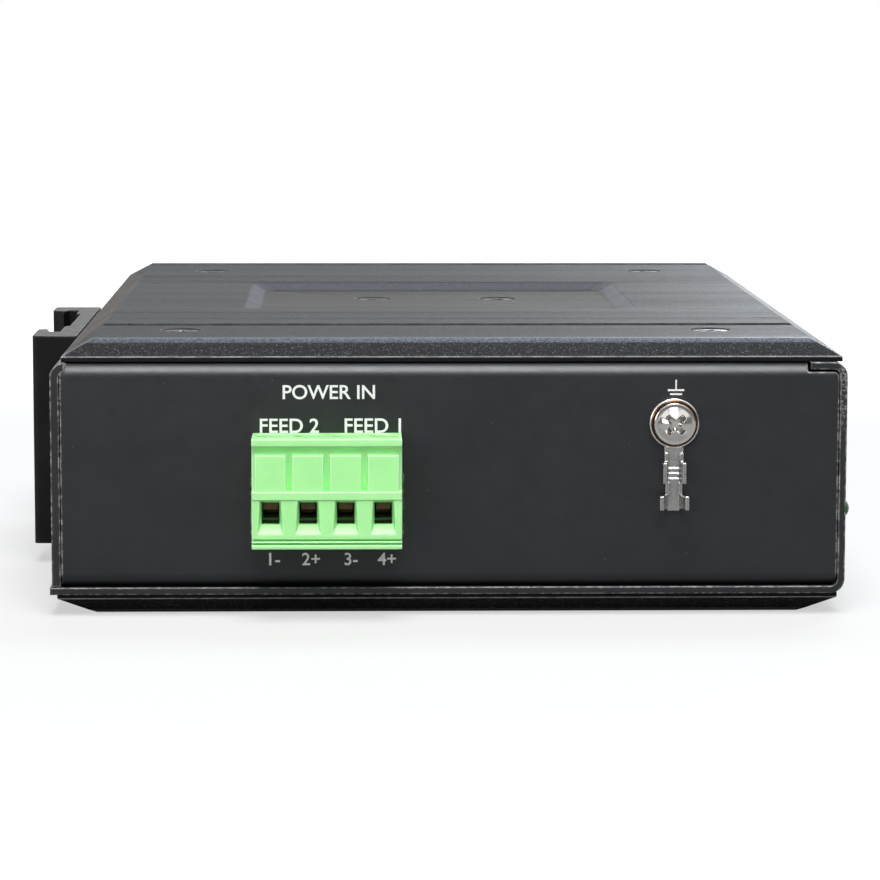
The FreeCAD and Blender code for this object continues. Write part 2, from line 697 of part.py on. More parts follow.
def din_spring():
    """Bowed leaf in the long hook's slot, pressing the rail into the short hook."""
    root = CLIP_Y0 + NEAR_ROOT
    half = SPRING_L / 2
    bow = SPRING_RISE - SPRING_T
    radius = (half * half + bow * bow) / (2 * bow)
    middle = root + bow - radius
    x0 = X_BACK - CLIP_BASE - SPRING_W - (CLIP_SLOT - SPRING_W) / 2
    outer = rod(radius + SPRING_T, point(x0, middle, Z_CLIP), FORWARD, SPRING_W)
    leaf = outer.cut(rod(radius, point(x0, middle, Z_CLIP), FORWARD, SPRING_W))
    keep = box(x0, x0 + SPRING_W, root, root + SPRING_RISE, Z_CLIP - half, Z_CLIP + half)
    return leaf.common(keep)


def clip_screws():
    surface = X_BACK - CLIP_BASE + CLIP_TROUGH
    length = CLIP_BASE - CLIP_TROUGH + SHEET + NUT_H + THREAD_OUT
    return Part.Compound([sunk_screw(point(surface, y, Z_CLIP), FORWARD, length) for y in CLIP_SPOTS])


def clip_nuts():
    return Part.Compound([nut(point(X_BACK + SHEET, y, Z_CLIP), FORWARD) for y in CLIP_SPOTS])


def wire_funnel(x):
    """Funnel and hole through the plug's front for one wire."""
    base = PLUG_Z + HOLE_BASE
    top = base + HOLE_H
    half = HOLE_W / 2
    inside = PLUG_Y0 + FUNNEL_D

    def loop(y, low, high, low_half, high_half):
        return [point(x - low_half, y, low), point(x + low_half, y, low),
                point(x + high_half, y, high), point(x - high_half, y, high)]

    mouth = loop(PLUG_Y0, base - FUNNEL_FOOT, top + FUNNEL_HEAD, half + FUNNEL_FLARE, half + FUNNEL_SIDE)
    throat = loop(inside, base, top, half, half)
    through = box(x - half, x + half, inside, PLUG_Y0 + PLUG_FRONT, base, top)
    return between(mouth, throat).fuse(through)


def terminal_plug():
    """Moulded housing: front with its relief and wire funnels, cage chambers, screw bores and the nose."""
    x0 = PLUG_X - PLUG_W / 2
    x1 = PLUG_X + PLUG_W / 2
    top = PLUG_Z + PLUG_H
    body = box(x0, x1, PLUG_Y0, PLUG_Y1, PLUG_Z, top)
    nose = box(PLUG_X - NOSE_W / 2, PLUG_X + NOSE_W / 2, PLUG_Y1, NOSE_Y1, NOSE_Z, NOSE_Z + NOSE_H)
    plug = joined([body, nose])

    recess = box(x0, x1, PLUG_Y0, PLUG_Y0 + RELIEF, PLUG_Z + PANEL_BASE, top - PLUG_LIP)
    panels = [box(x - PANEL_W / 2, x + PANEL_W / 2, PLUG_Y0, PLUG_Y0 + RELIEF,
                  PLUG_Z + PANEL_BASE, PLUG_Z + PANEL_TOP) for x in POLE_SPOTS]
    cuts = [recess.cut(panels)]
    for i in (0, 2):
        low = PLUG_Z + RIB_BASE + i * RIB_T
        cuts.append(box(x0, x1, PLUG_Y0, PLUG_Y0 + RIB_DEPTH, low, low + RIB_T))

    chamber_x = CAGE_X / 2 + CAGE_PLAY
    chamber_y0 = CAGE_Y0 - CAGE_PLAY
    chamber_y1 = CAGE_Y0 + CAGE_Y + CAGE_PLAY
    chamber_top = CAGE_TOP + CAGE_TRAVEL
    tunnel_x = BAR_W / 2 + CONTACT_PLAY
    tunnel_z0 = PIN_Z - PIN_T / 2 - PRONG_PLAY - PRONG_T - CONTACT_PLAY
    head_seat = top - CLAMP_SINK - CLAMP_HEAD_H - CLAMP_PLAY
    for x in POLE_SPOTS:
        cuts.append(wire_funnel(x))
        cuts.append(box(x - chamber_x, x + chamber_x, chamber_y0, chamber_y1,
                        CAGE_FLOOR - CAGE_WALL - CAGE_PLAY, chamber_top))
        cuts.append(box(x - tunnel_x, x + tunnel_x, chamber_y1, NOSE_Y1, tunnel_z0, BAR_TOP + CONTACT_PLAY))
        cuts.append(stud(CLAMP_R + CLAMP_PLAY, point(x, CAGE_MID, chamber_top), UP, head_seat - chamber_top))
        cuts.append(stud(CLAMP_HEAD_R + CLAMP_PLAY, point(x, CAGE_MID, head_seat), UP, top - head_seat))
    return plug.cut(cuts)


def clamp_cages():
    """One rising cage for each wire: a floor, two sides and a tapped roof round the contact bar."""
    cages = []
    for x in POLE_SPOTS:
        half = CAGE_X / 2
        ring = box(x - half, x + half, CAGE_Y0, CAGE_Y0 + CAGE_Y, CAGE_FLOOR - CAGE_WALL, CAGE_TOP)
        window = box(x - half + CAGE_WALL, x + half - CAGE_WALL, CAGE_Y0, CAGE_Y0 + CAGE_Y,
                     CAGE_FLOOR, CAGE_TOP - CAGE_ROOF)
        thread = stud(CLAMP_R + THREAD_PLAY, point(x, CAGE_MID, CAGE_TOP - CAGE_ROOF), UP, CAGE_ROOF)
        cages.append(ring.cut([window, thread]))
    return Part.Compound(cages)


def clamp_screws():
    """Slotted screws standing on the contact bars."""
    screws = []
    head_top = PLUG_Z + PLUG_H - CLAMP_SINK
    for x in POLE_SPOTS:
        shank = stud(CLAMP_R, point(x, CAGE_MID, BAR_TOP), UP, head_top - BAR_TOP)
        head = stud(CLAMP_HEAD_R, point(x, CAGE_MID, head_top - CLAMP_HEAD_H), UP, CLAMP_HEAD_H)
        slot = box(x - SLOT_W / 2, x + SLOT_W / 2, CAGE_MID - CLAMP_HEAD_R, CAGE_MID + CLAMP_HEAD_R,
                   head_top - SLOT_D, head_top)
        screws.append(joined([shank, head]).cut(slot))
    return Part.Compound(screws)


def plug_contacts():
    """Bars over the wires, each running back into a fork round its header pin."""
    contacts = []
    web_y1 = PIN_TIP - WEB_GAP
    end = NOSE_Y1 - PRONG_SHORT
    low = PIN_Z - PIN_T / 2 - PRONG_PLAY - PRONG_T
    high = PIN_Z + PIN_T / 2 + PRONG_PLAY
    for x in POLE_SPOTS:
        a = x - BAR_W / 2
        b = x + BAR_W / 2
        bar = box(a, b, CAGE_Y0, web_y1, BAR_BASE, BAR_TOP)
        web = box(a, b, web_y1 - WEB_T, web_y1, low, BAR_TOP)
        lower = box(a, b, web_y1, end, low, low + PRONG_T)
        upper = box(a, b, web_y1, end, high, BAR_TOP)
        contacts.append(joined([bar, web, lower, upper]))
    return Part.Compound(contacts)


def plug_header():
    """Shroud on the board, open towards the end wall, with square pin holes in its back."""
    half = NOSE_W / 2 + NOSE_PLAY
    outer = half + HEADER_WALL
    cavity_top = NOSE_Z + NOSE_H + NOSE_PLAY
    shroud = box(PLUG_X - outer, PLUG_X + outer, HEADER_Y0, HEADER_Y1, Z_PARTS, cavity_top + HEADER_WALL)
    cuts = [box(PLUG_X - half, PLUG_X + half, HEADER_Y0, HEADER_IN, NOSE_Z - NOSE_PLAY, cavity_top)]
    hole = PIN_T / 2 + PIN_FIT
    for x in POLE_SPOTS:
        cuts.append(box(x - hole, x + hole, HEADER_IN, HEADER_Y1, PIN_Z - hole, PIN_Z + hole))
    return shroud.cut(cuts)


def header_pins():
    """Square pins, bent down behind the header and through the board."""
    half = PIN_T / 2
    knee = HEADER_Y1 + PIN_TAIL
    side = [(PIN_TIP, PIN_Z - half, 0), (PIN_TIP, PIN_Z + half, 0), (knee + half, PIN_Z + half, 0),
            (knee + half, Z_BOARD - PIN_UNDER, 0), (knee - half, Z_BOARD - PIN_UNDER, 0),
            (knee - half, PIN_Z - half, 0)]
    return Part.Compound([pushed(side, "x", x - half, PIN_T) for x in POLE_SPOTS])


def earth_screw():
    """Pan-headed screw through the washer, the lug and the end wall into its nut."""
    under = point(EARTH_X, Y_NEAR - LUG_T - WASHER_T, EARTH_Z)
    top = under - INWARD * EARTH_HEAD_H
    rise = EARTH_HEAD_H - EARTH_HEAD_EDGE
    crown = taper(EARTH_TOP_R, EARTH_HEAD_R, top, INWARD, rise)
    edge = stud(EARTH_HEAD_R, top + INWARD * rise, INWARD, EARTH_HEAD_EDGE)
    shank = stud(M3_R, under, INWARD, LUG_T + WASHER_T + SHEET + NUT_H + THREAD_OUT)
    return joined([crown, edge, shank]).cut(cross(top, INWARD * -1))


def earth_washer():
    seat = point(EARTH_X, Y_NEAR - LUG_T - WASHER_T, EARTH_Z)
    return stud(WASHER_R, seat, INWARD, WASHER_T).cut(stud(M3_R + WASHER_PLAY, seat, INWARD, WASHER_T))


def crimp(floor, spread, height, top, length):
    """Open barrel with two flaring wings, its floor against the end wall."""
    foot = floor / 2
    tip = spread / 2
    back = Y_NEAR
    front = Y_NEAR - height
    corners = [(EARTH_X - foot, back, LUG_T), (EARTH_X + foot, back, LUG_T), (EARTH_X + tip, front, 0),
               (EARTH_X + tip - LUG_T, front, 0), (EARTH_X + foot - LUG_T, back - LUG_T, 0),
               (EARTH_X - foot + LUG_T, back - LUG_T, 0), (EARTH_X - tip + LUG_T, front, 0),
               (EARTH_X - tip, front, 0)]
    return pushed(corners, "z", EARTH_Z - top - length, length)


def earth_lug():
    """Ring terminal hanging from the screw, its two crimps open towards the viewer."""
    front = Y_NEAR - LUG_T
    hole = point(EARTH_X, front, EARTH_Z)
    eye = stud(LUG_RING_R, hole, INWARD, LUG_T)
    half = LUG_NECK_W / 2
    tongue = LUG_TONGUE_W / 2
    waist_top = BARREL_TOP + BARREL_L
    waist_l = GRIP_TOP - waist_top
    neck = box(EARTH_X - half, EARTH_X + half, front, Y_NEAR, EARTH_Z - BARREL_TOP, EARTH_Z)
    floor = box(EARTH_X - tongue, EARTH_X + tongue, front, Y_NEAR, EARTH_Z - LUG_END, EARTH_Z - BARREL_TOP)
    lug = joined([eye, neck, floor,
                  crimp(LUG_NECK_W, LUG_NECK_W, LUG_EDGE_H, BARREL_TOP - LUG_EDGE_L, LUG_EDGE_L),
                  crimp(BARREL_FLOOR, BARREL_W, BARREL_H, BARREL_TOP, BARREL_L),
                  crimp(LUG_WAIST_W, LUG_WAIST_W, LUG_EDGE_H, waist_top, waist_l),
                  crimp(GRIP_FLOOR, GRIP_W, GRIP_H, GRIP_TOP, GRIP_L)])
    cuts = [stud(M3_R + WASHER_PLAY, hole, INWARD, LUG_T)]
    pitch = BARREL_L / (SERRATIONS + 1)
    for i in range(SERRATIONS):
        z = EARTH_Z - BARREL_TOP - (i + 1) * pitch
        cuts.append(box(EARTH_X - tongue, EARTH_X + tongue, front, front + SERRATION_D,
                        z - SERRATION_W / 2, z + SERRATION_W / 2))
    return lug.cut(cuts)


def earth_nut():
    return nut(point(EARTH_X, Y_NEAR + SHEET, EARTH_Z), INWARD)


def board_standoffs():
    posts = []
    for x, y in POST_SPOTS:
        foot = point(x, y, Z_FLOOR)
        post = stud(STANDOFF_R, foot, UP, STANDOFF_H, NUT_SIDES)
        posts.append(post.cut(stud(STANDOFF_BORE, foot, UP, STANDOFF_H)))
    return Part.Compound(posts)


def main_board():
    board = box(BOARD_X0, BOARD_X1, BOARD_Y0, BOARD_Y1, Z_BOARD, Z_PARTS)
    cuts = [stud(M3_R + HOLE_PLAY, point(x, y, Z_BOARD), UP, BOARD_T) for x, y in POST_SPOTS]
    hole = PIN_T + 2 * PIN_HOLE
    for x in POLE_SPOTS:
        cuts.append(square_part(x, HEADER_Y1 + PIN_TAIL, hole, hole, Z_BOARD, BOARD_T))
    return board.cut(cuts)


def board_screws():
    screws = []
    for x, y in POST_SPOTS:
        head = stud(PAN_R, point(x, y, Z_PARTS), UP, PAN_H)
        low = Z_BOARD - BOARD_SCREW_L
        screws.append(joined([head, stud(BOARD_SCREW_R, point(x, y, low), UP, Z_PARTS - low)]))
    return Part.Compound(screws)


def led_lenses():
    """Round lamps with narrowing tips, through the front panel."""
    lenses = []
    stem = LED_L - LED_TIP
    for y in LED_SPOTS:
        back = point(X_FRONT + LED_OUT - LED_L, y, Z_LED)
        tip = taper(LED_R, LED_TIP_R, back + FORWARD * stem, FORWARD, LED_TIP)
        lenses.append(joined([stud(LED_R, back, FORWARD, stem), tip]))
    return Part.Compound(lenses)


def led_holders():
    """Square holders on the board, behind the panel, round the lamps."""
    holders = []
    front = X_FRONT - COVER_T - EDGE_GAP
    for y in LED_SPOTS:
        block = box(front - HOLDER_L, front, y - HOLDER_W / 2, y + HOLDER_W / 2,
                    Z_PARTS, Z_LED + LED_R + HOLDER_PAST)
        bore = stud(LED_R + LED_HOLE_PLAY, point(front - HOLDER_L, y, Z_LED), FORWARD, HOLDER_L)
        holders.append(block.cut(bore))
    return Part.Compound(holders)


def jack_hole(extra, x0, x1):
    """Room for a copper line's plug: body and stepped latch channel, widened by extra."""
    base = Z_PARTS + JACK_HOLE_UP
    steps = [(JACK_HOLE_W, base, base + JACK_HOLE_H), (LATCH_W, base - LATCH_D, base),
             (LATCH_TIP_W, base - LATCH_D - LATCH_TIP_D, base)]
    rooms = [box(x0, x1, JACK_Y - width / 2 - extra, JACK_Y + width / 2 + extra, low - extra, high + extra)
             for width, low, high in steps]
    return joined(rooms)


def copper_jack_shield():
    """Thin metal shell with a shaped opening, its underside open on the board."""
    x0 = JACK_FACE - JACK_L
    half = JACK_W / 2
    shell = box(x0, JACK_FACE, JACK_Y - half, JACK_Y + half, Z_PARTS, Z_PARTS + JACK_H)
    room = box(x0 + JACK_SKIN, JACK_FACE - JACK_SKIN, JACK_Y - half + JACK_SKIN, JACK_Y + half - JACK_SKIN,
               Z_PARTS, Z_PARTS + JACK_H - JACK_SKIN)
    mouth = jack_hole(BEZEL_PLAY, JACK_FACE - JACK_SKIN, JACK_FACE)
    return shell.cut([room, mouth])


def copper_jack_insert():
    """Moulded insert inside the shield, with the plug's hole."""
    skin = JACK_SKIN + JACK_PLAY
    half = JACK_W / 2 - skin
    front = JACK_FACE - skin
    block = box(JACK_FACE - JACK_L + skin, front, JACK_Y - half, JACK_Y + half,
                Z_PARTS, Z_PARTS + JACK_H - skin)
    return block.cut(jack_hole(0, front - JACK_HOLE_D, front))


def copper_jack_contacts():
    """Sprung wires leaning down into the plug's hole from its roof."""
    roof = Z_PARTS + JACK_HOLE_UP + JACK_HOLE_H
    start = JACK_FACE - JACK_SKIN - JACK_PLAY - (JACK_HOLE_D - WIRE_RUN) / 2
    end = start - WIRE_RUN
    side = [(start, roof, 0), (start, roof - WIRE_T, 0), (end + WIRE_T, roof - WIRE_DROP, WIRE_T),
            (end, roof - WIRE_DROP, 0), (end, roof - WIRE_DROP + WIRE_T, 0), (start - WIRE_T, roof, 0)]
    first = JACK_Y - ((WIRES - 1) * WIRE_PITCH + WIRE_T) / 2
    return Part.Compound([pushed(side, "y", first + i * WIRE_PITCH, WIRE_T) for i in range(WIRES)])


def fibre_cage():
    """Thin metal cage on the board, open at the front, for a slide-in fibre module."""
    half = FIBRE_W / 2
    x0 = FIBRE_FACE - FIBRE_L
    shell = box(x0, FIBRE_FACE, FIBRE_Y - half, FIBRE_Y + half, Z_PARTS, Z_PARTS + FIBRE_H)
    room = box(x0 + FIBRE_SKIN, FIBRE_FACE, FIBRE_Y - half + FIBRE_SKIN, FIBRE_Y + half - FIBRE_SKIN,
               Z_PARTS + FIBRE_SKIN, Z_PARTS + FIBRE_H - FIBRE_SKIN)
    foot = box(x0 + FIBRE_SKIN, x0 + FIBRE_FOOT, FIBRE_Y - half + FIBRE_SKIN, FIBRE_Y + half - FIBRE_SKIN,
               Z_PARTS, Z_PARTS + FIBRE_SKIN)
    return shell.cut([room, foot])


def finger(across, z_side, seat):
    """One bowed earthing finger lying on the cage's outer face."""
    start = FIBRE_FACE - FINGER_L
    middle = FIBRE_FACE - FINGER_L / 2
    side = [(start, 0, 0), (FIBRE_FACE, 0, 0), (FIBRE_FACE, FINGER_T, 0),
            (middle, FINGER_RISE, FINGER_L), (start, FINGER_T, 0)]
    if z_side:
        turned = [(x, seat + z_side * out, radius) for x, out, radius in side]
        return pushed(turned, "y", across - FINGER_W / 2, FINGER_W)
    turned = [(x, FIBRE_Y + math.copysign(FIBRE_W / 2 + out, seat), radius) for x, out, radius in side]
    return pushed(turned, "z", across - FINGER_W / 2, FINGER_W)


def fibre_cage_fingers():
    """Earthing fingers round the cage, between it and the panel's opening."""
    fingers = []
    along = int(FIBRE_W // FINGER_PITCH)
    upright = int(FIBRE_H // FINGER_PITCH)
    for i in range(along):
        y = FIBRE_Y + (i - (along - 1) / 2) * FINGER_PITCH
        fingers.append(finger(y, 1, Z_PARTS + FIBRE_H))
    for i in range(upright):
        z = Z_PARTS + FIBRE_H / 2 + (i - (upright - 1) / 2) * FINGER_PITCH
        fingers.append(finger(z, 0, 1))
        fingers.append(finger(z, 0, -1))
    return Part.Compound(fingers)


def fibre_connector():
    """Board connector at the cage's inner end, with the slot for the module's card edge."""
    x0 = FIBRE_FACE - FIBRE_L + FIBRE_PLUG_IN
    x1 = x0 + FIBRE_PLUG_L
    half = FIBRE_PLUG_W / 2
    block = box(x0, x1, FIBRE_Y - half, FIBRE_Y + half, Z_PARTS, Z_PARTS + FIBRE_PLUG_H)
    low = Z_PARTS + FIBRE_SLOT_UP
    slot = box(x1 - FIBRE_SLOT_D, x1, FIBRE_Y - FIBRE_SLOT_W / 2, FIBRE_Y + FIBRE_SLOT_W / 2,
               low, low + FIBRE_SLOT_H)
    return block.cut(slot)


def square_part(x, y, size_x, size_y, low, height):
    return box(x - size_x / 2, x + size_x / 2, y - size_y / 2, y + size_y / 2, low, low + height)


def eight_corners(x, y, size_x, size_y, cut):
    """Corners of a rectangle whose own corners are cut off."""
    half_x = size_x / 2
    half_y = size_y / 2
    corners = []
    for u, v in AROUND:
        ends = [(x + u * half_x, y + v * (half_y - cut)), (x + u * (half_x - cut), y + v * half_y)]
        corners += ends if u == v else ends[::-1]
    return corners


def eight_sided_part(x, y, size_x, size_y, cut, height):
    """A part on the board whose upright corners are cut off."""
    corners = [(u, v, 0) for u, v in eight_corners(x, y, size_x, size_y, cut)]
    return pushed(corners, "z", Z_PARTS, height)


def converter_chip():
    return square_part(0, POCKET_SCREW_Y, CHIP_W, CHIP_W, Z_PARTS, CHIP_H)


def thermal_pad():
    return square_part(0, POCKET_SCREW_Y, CHIP_W, CHIP_W, Z_PARTS + CHIP_H, PAD_T)


def heat_block():
    """Block that carries the chip's heat through the upper sheet's window into the plate."""
    low = Z_PARTS + CHIP_H + PAD_T
    block = square_part(0, POCKET_SCREW_Y, BLOCK_X, BLOCK_Y, low, Z_TOP - low)
    depth = BLOCK_SCREW_L + THREAD_OUT
    return block.cut([stud(M3_R + THREAD_PLAY, spot, DOWN, depth) for spot in pocket_spots(Z_TOP)])


def smoothing_capacitors():
    cans = []
    side = CAN_H - CAN_RIM
    for i in range(CANS):
        foot = point(BOARD_X0 + CAN_BACK, BOARD_Y0 + CAN_NEAR + i * CAN_PITCH, Z_PARTS)
        rim = taper(CAN_R, CAN_R - CAN_RIM, foot + UP * side, UP, CAN_RIM)
        cans.append(joined([stud(CAN_R, foot, UP, side), rim]))
    return Part.Compound(cans)


def isolating_transformer():
    y = BOARD_Y0 + CORE_NEAR
    core = square_part(CORE_X, y, CORE_W, CORE_W, Z_PARTS, CORE_H)
    coil = square_part(CORE_X, y, COIL_W, CORE_W + 2 * COIL_PAST, Z_PARTS + COIL_PAST, CORE_H - 2 * COIL_PAST)
    return joined([core, coil])


def power_inductor():
    return eight_sided_part(CHOKE_X, BOARD_Y0 + CHOKE_NEAR, CHOKE_W, CHOKE_W, CHOKE_CUT, CHOKE_H)


def input_diodes():
    y = HEADER_Y1 + PIN_TAIL + DIODE_ROW
    pitch = NOSE_W / (DIODES - 1)
    spots = [PLUG_X + (i - (DIODES - 1) / 2) * pitch for i in range(DIODES)]
    return Part.Compound([square_part(x, y, DIODE_X, DIODE_Y, Z_PARTS, DIODE_H) for x in spots])


def line_transformer():
    middle = POST_X - STANDOFF_R - LINE_GAP - LINE_L / 2
    return square_part(middle, JACK_Y, LINE_L, LINE_W, Z_PARTS, LINE_H)


def clock_crystal():
    x = BOARD_X0 + CRYSTAL_BACK
    return eight_sided_part(x, BOARD_Y1 - CRYSTAL_FAR, CRYSTAL_L, CRYSTAL_W, CRYSTAL_CUT, CRYSTAL_H)


PIECES = [
    chassis_tray, front_cover, side_plate_upper, side_plate_lower, upper_plate_screws, lower_plate_screws,
    pocket_screws, tray_nuts, din_clip, din_spring, clip_screws, clip_nuts, terminal_plug, clamp_cages,
    clamp_screws, plug_contacts, plug_header, header_pins, earth_screw, earth_washer, earth_lug, earth_nut,
    board_standoffs, main_board, board_screws, led_lenses, led_holders, copper_jack_shield,
    copper_jack_insert, copper_jack_contacts, fibre_cage, fibre_cage_fingers, fibre_connector,
    converter_chip, thermal_pad, heat_block, smoothing_capacitors, isolating_transformer, power_inductor,
    input_diodes, line_transformer, clock_crystal,
]

for piece in PIECES:
    piece().exportStep("parts/" + piece.__name__ + ".step")
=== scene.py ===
import json
import math

import bmesh
import bpy
from mathutils import Matrix, Vector


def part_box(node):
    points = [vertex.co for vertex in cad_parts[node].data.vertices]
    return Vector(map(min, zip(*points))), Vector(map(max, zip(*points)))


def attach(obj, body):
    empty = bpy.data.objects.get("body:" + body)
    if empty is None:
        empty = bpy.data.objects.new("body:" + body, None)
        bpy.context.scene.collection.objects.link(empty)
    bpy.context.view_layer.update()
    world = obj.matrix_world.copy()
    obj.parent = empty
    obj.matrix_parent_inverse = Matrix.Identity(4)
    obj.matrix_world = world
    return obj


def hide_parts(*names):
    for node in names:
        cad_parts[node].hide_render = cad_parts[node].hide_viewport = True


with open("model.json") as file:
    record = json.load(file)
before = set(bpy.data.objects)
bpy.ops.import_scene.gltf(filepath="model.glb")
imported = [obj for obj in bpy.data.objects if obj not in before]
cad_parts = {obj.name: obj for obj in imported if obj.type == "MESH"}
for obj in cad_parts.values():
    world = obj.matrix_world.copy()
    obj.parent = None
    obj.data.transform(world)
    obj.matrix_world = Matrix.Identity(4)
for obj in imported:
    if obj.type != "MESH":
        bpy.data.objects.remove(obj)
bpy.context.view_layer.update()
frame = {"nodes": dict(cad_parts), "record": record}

# The finish of a rail-mounted converter, lying on its lower side plate.
# X runs to the port panel, Y away from the terminal end, Z up.
# Lengths are in metres, and mm() takes millimetres.

NODES = frame["nodes"]
SCENE = bpy.context.scene


def mm(*values):
    """Millimetres to metres: a number for one value, a vector for three."""
    if len(values) == 1:
        return values[0] * 0.001
    return Vector(values) * 0.001


def middle_of(node):
    """Middle of a node's box."""
    low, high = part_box(node)
    return (low + high) / 2


# Sizes of the part that looks and pieces follow

COVER_LOW, COVER_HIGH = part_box("front_cover")
END_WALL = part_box("chassis_tray")[0].y    # outer face of the terminal end
PLATE_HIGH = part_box("side_plate_upper")[1]
CASE_MIDDLE = PLATE_HIGH.z / 2            # half way between the two plates' outer faces
LIP_TOP = CASE_MIDDLE - mm(2.3)           # outer edge of a plate's upright lip, from CASE_MIDDLE
FACE_DEPTH = mm(0.7)                      # a plate's flat faces all lie within this of its outermost one
RIDGE_Y = PLATE_HIGH.y - mm(2.8)          # ridge beside a plate's end bevel
RIDGE_HALF = mm(0.9)
POCKET_Y = mm(1.5)                        # middle of the upper plate's pocket
POCKET_HALF_X = mm(29.8)                  # half of its mouth
POCKET_HALF_Y = mm(25.0)
POCKET_SLOPE = mm(2.5)                    # run of its sloping sides
POCKET_DEPTH = mm(1.2)
EARTH_MIDDLE = middle_of("earth_screw")
EARTH_HEAD_R = mm(2.86)
SUNK_RIM = mm(2.75)                       # radius of a sunk screw's head
SHANK_R = mm(1.45)
SHANK_TIP = mm(0.4)                       # chamfer at a shank's end
LAMP_R = mm(1.5)
LAMP_COUNT = 4

UP = (0, 0, 1)
DOWN = (0, 0, -1)
OUT = (0, -1, 0)
BACK = (-1, 0, 0)
FORWARD = (1, 0, 0)


# Node helpers

NOISE_RANGE = (0.3, 0.7)                  # where nearly all of a noise lies


class Nodes:
    """A node tree, with short ways to build in it."""

    def __init__(self, tree):
        self.tree = tree

    def add(self, kind, **settings):
        """A new node with some settings."""
        node = self.tree.nodes.new(kind)
        for name, value in settings.items():
            setattr(node, name, value)
        return node

    def link(self, source, target):
        self.tree.links.new(source, target)

    def fill(self, node, values):
        """Feeds a node's inputs, each by a plain value or by another node's output."""
        for name, value in values.items():
            if isinstance(value, bpy.types.NodeSocket):
                self.link(value, node.inputs[name])
            else:
                node.inputs[name].default_value = value

    def worked(self, operation, first, second=0.0):
        """Two values combined by a sum, difference, maximum and so on."""
        node = self.add("ShaderNodeMath", operation=operation)
        self.fill(node, {0: first, 1: second})
        return node.outputs["Value"]

    def product(self, first, *others):
        """Two or more values multiplied together."""
        for other in others:
            first = self.worked("MULTIPLY", first, other)
        return first

    def off(self, value, middle):
        """How far a value lies from a middle, either way."""
        return self.worked("ABSOLUTE", self.worked("SUBTRACT", value, middle))

    def span(self, value, low, high, new_low, new_high, **settings):
        """A value moved from one range to another, and held inside it."""
        node = self.add("ShaderNodeMapRange", **settings)
        ranges = {"From Min": low, "From Max": high, "To Min": new_low, "To Max": new_high}
        self.fill(node, {"Value": value, **ranges})
        return node.outputs["Result"]

    def fade(self, value, start, end, first):
        """A smooth change from a first level to 1, as a value goes from start to end."""
        return self.span(value, start, end, first, 1.0, interpolation_type="SMOOTHSTEP")

    def split(self, vector):
        """X, Y and Z of a vector, one value each."""
        node = self.add("ShaderNodeSeparateXYZ")
        self.link(vector, node.inputs[0])
        return tuple(node.outputs)


class Look(Nodes):
    """A material with one shader, and short ways to feed it."""

    def __init__(self, name, color, roughness, metallic=0.0, specular=0.5):
        self.material = bpy.data.materials.new(name)
        self.material.use_nodes = True
        super().__init__(self.material.node_tree)
        self.shader = self.tree.nodes["Principled BSDF"]
        self.place = self.add("ShaderNodeTexCoord").outputs["Object"]
        self.fill(self.shader, {"Base Color": (*color, 1.0), "Roughness": roughness})
        self.fill(self.shader, {"Metallic": metallic, "Specular IOR Level": specular})

    def paint(self, color):
        self.link(color, self.shader.inputs["Base Color"])

    def rough(self, value):
        self.link(value, self.shader.inputs["Roughness"])

    def axes(self):
        """The object's own X, Y and Z, one value each."""
        return self.split(self.place)

    def stretched(self, x, y, z):
        """The object's own coordinates, scaled on each axis."""
        node = self.add("ShaderNodeMapping")
        self.fill(node, {"Scale": (x, y, z), "Vector": self.place})
        return node.outputs["Vector"]

    def noise(self, size, detail, place=None):
        """Noise whose features are about this many metres across."""
        node = self.add("ShaderNodeTexNoise")
        self.fill(node, {"Scale": 1.0 / size, "Detail": detail, "Vector": place or self.place})
        return node.outputs["Fac"]

    def mottle(self, size, detail, low=0.0, high=1.0):
        """Noise spread out from one value to another."""
        return self.span(self.noise(size, detail), *NOISE_RANGE, low, high)

    def mixed(self, factor, first, second):
        """A colour between two colours; each is three numbers or a socket."""
        node = self.add("ShaderNodeMix", data_type="RGBA")
        self.link(factor, node.inputs["Factor"])
        for name, color in (("A", first), ("B", second)):
            socket = [s for s in node.inputs if s.name == name and s.type == "RGBA"][0]
            if isinstance(color, tuple):
                socket.default_value = (*color, 1.0)
            else:
                self.link(color, socket)
        return [s for s in node.outputs if s.type == "RGBA"][0]

    def within(self, value, middle, half, soft):
        """1 where a value lies within half a width of a middle, else 0."""
        return self.span(self.off(value, middle), half, half + soft, 1, 0)

    def rounded(self, radius):
        """Normals that run smoothly round the sharp edges."""
        node = self.add("ShaderNodeBevel", samples=6)
        self.fill(node, {"Radius": radius})
        return node.outputs["Normal"]

    def edges(self, radius, tilt):
        """1 along edges, where the rounded normal leans this many degrees off the face, 0 on open faces."""
        face = self.add("ShaderNodeNewGeometry")
        same = self.add("ShaderNodeVectorMath", operation="DOT_PRODUCT")
        self.fill(same, {0: self.rounded(radius), 1: face.outputs["Normal"]})
        full = math.cos(math.radians(tilt))
        none = math.cos(math.radians(tilt / 3))
        return self.span(same.outputs["Value"], full, none, 1, 0)

    def openness(self, reach, low, high):
        """0 in corners and recesses narrower than a reach, 1 on open faces."""
        node = self.add("ShaderNodeAmbientOcclusion", samples=8, only_local=True)
        self.fill(node, {"Distance": reach})
        return self.span(node.outputs["AO"], low, high, 0, 1)

    def bump(self, height, depth, strength, under=None):
        """Relief of a depth in metres, over another relief if one is given."""
        node = self.add("ShaderNodeBump")
        self.fill(node, {"Strength": strength, "Distance": depth, "Height": height})
        if under is not None:
            self.link(under, node.inputs["Normal"])
        self.link(node.outputs["Normal"], self.shader.inputs["Normal"])
        return node.outputs["Normal"]


# Materials of the case


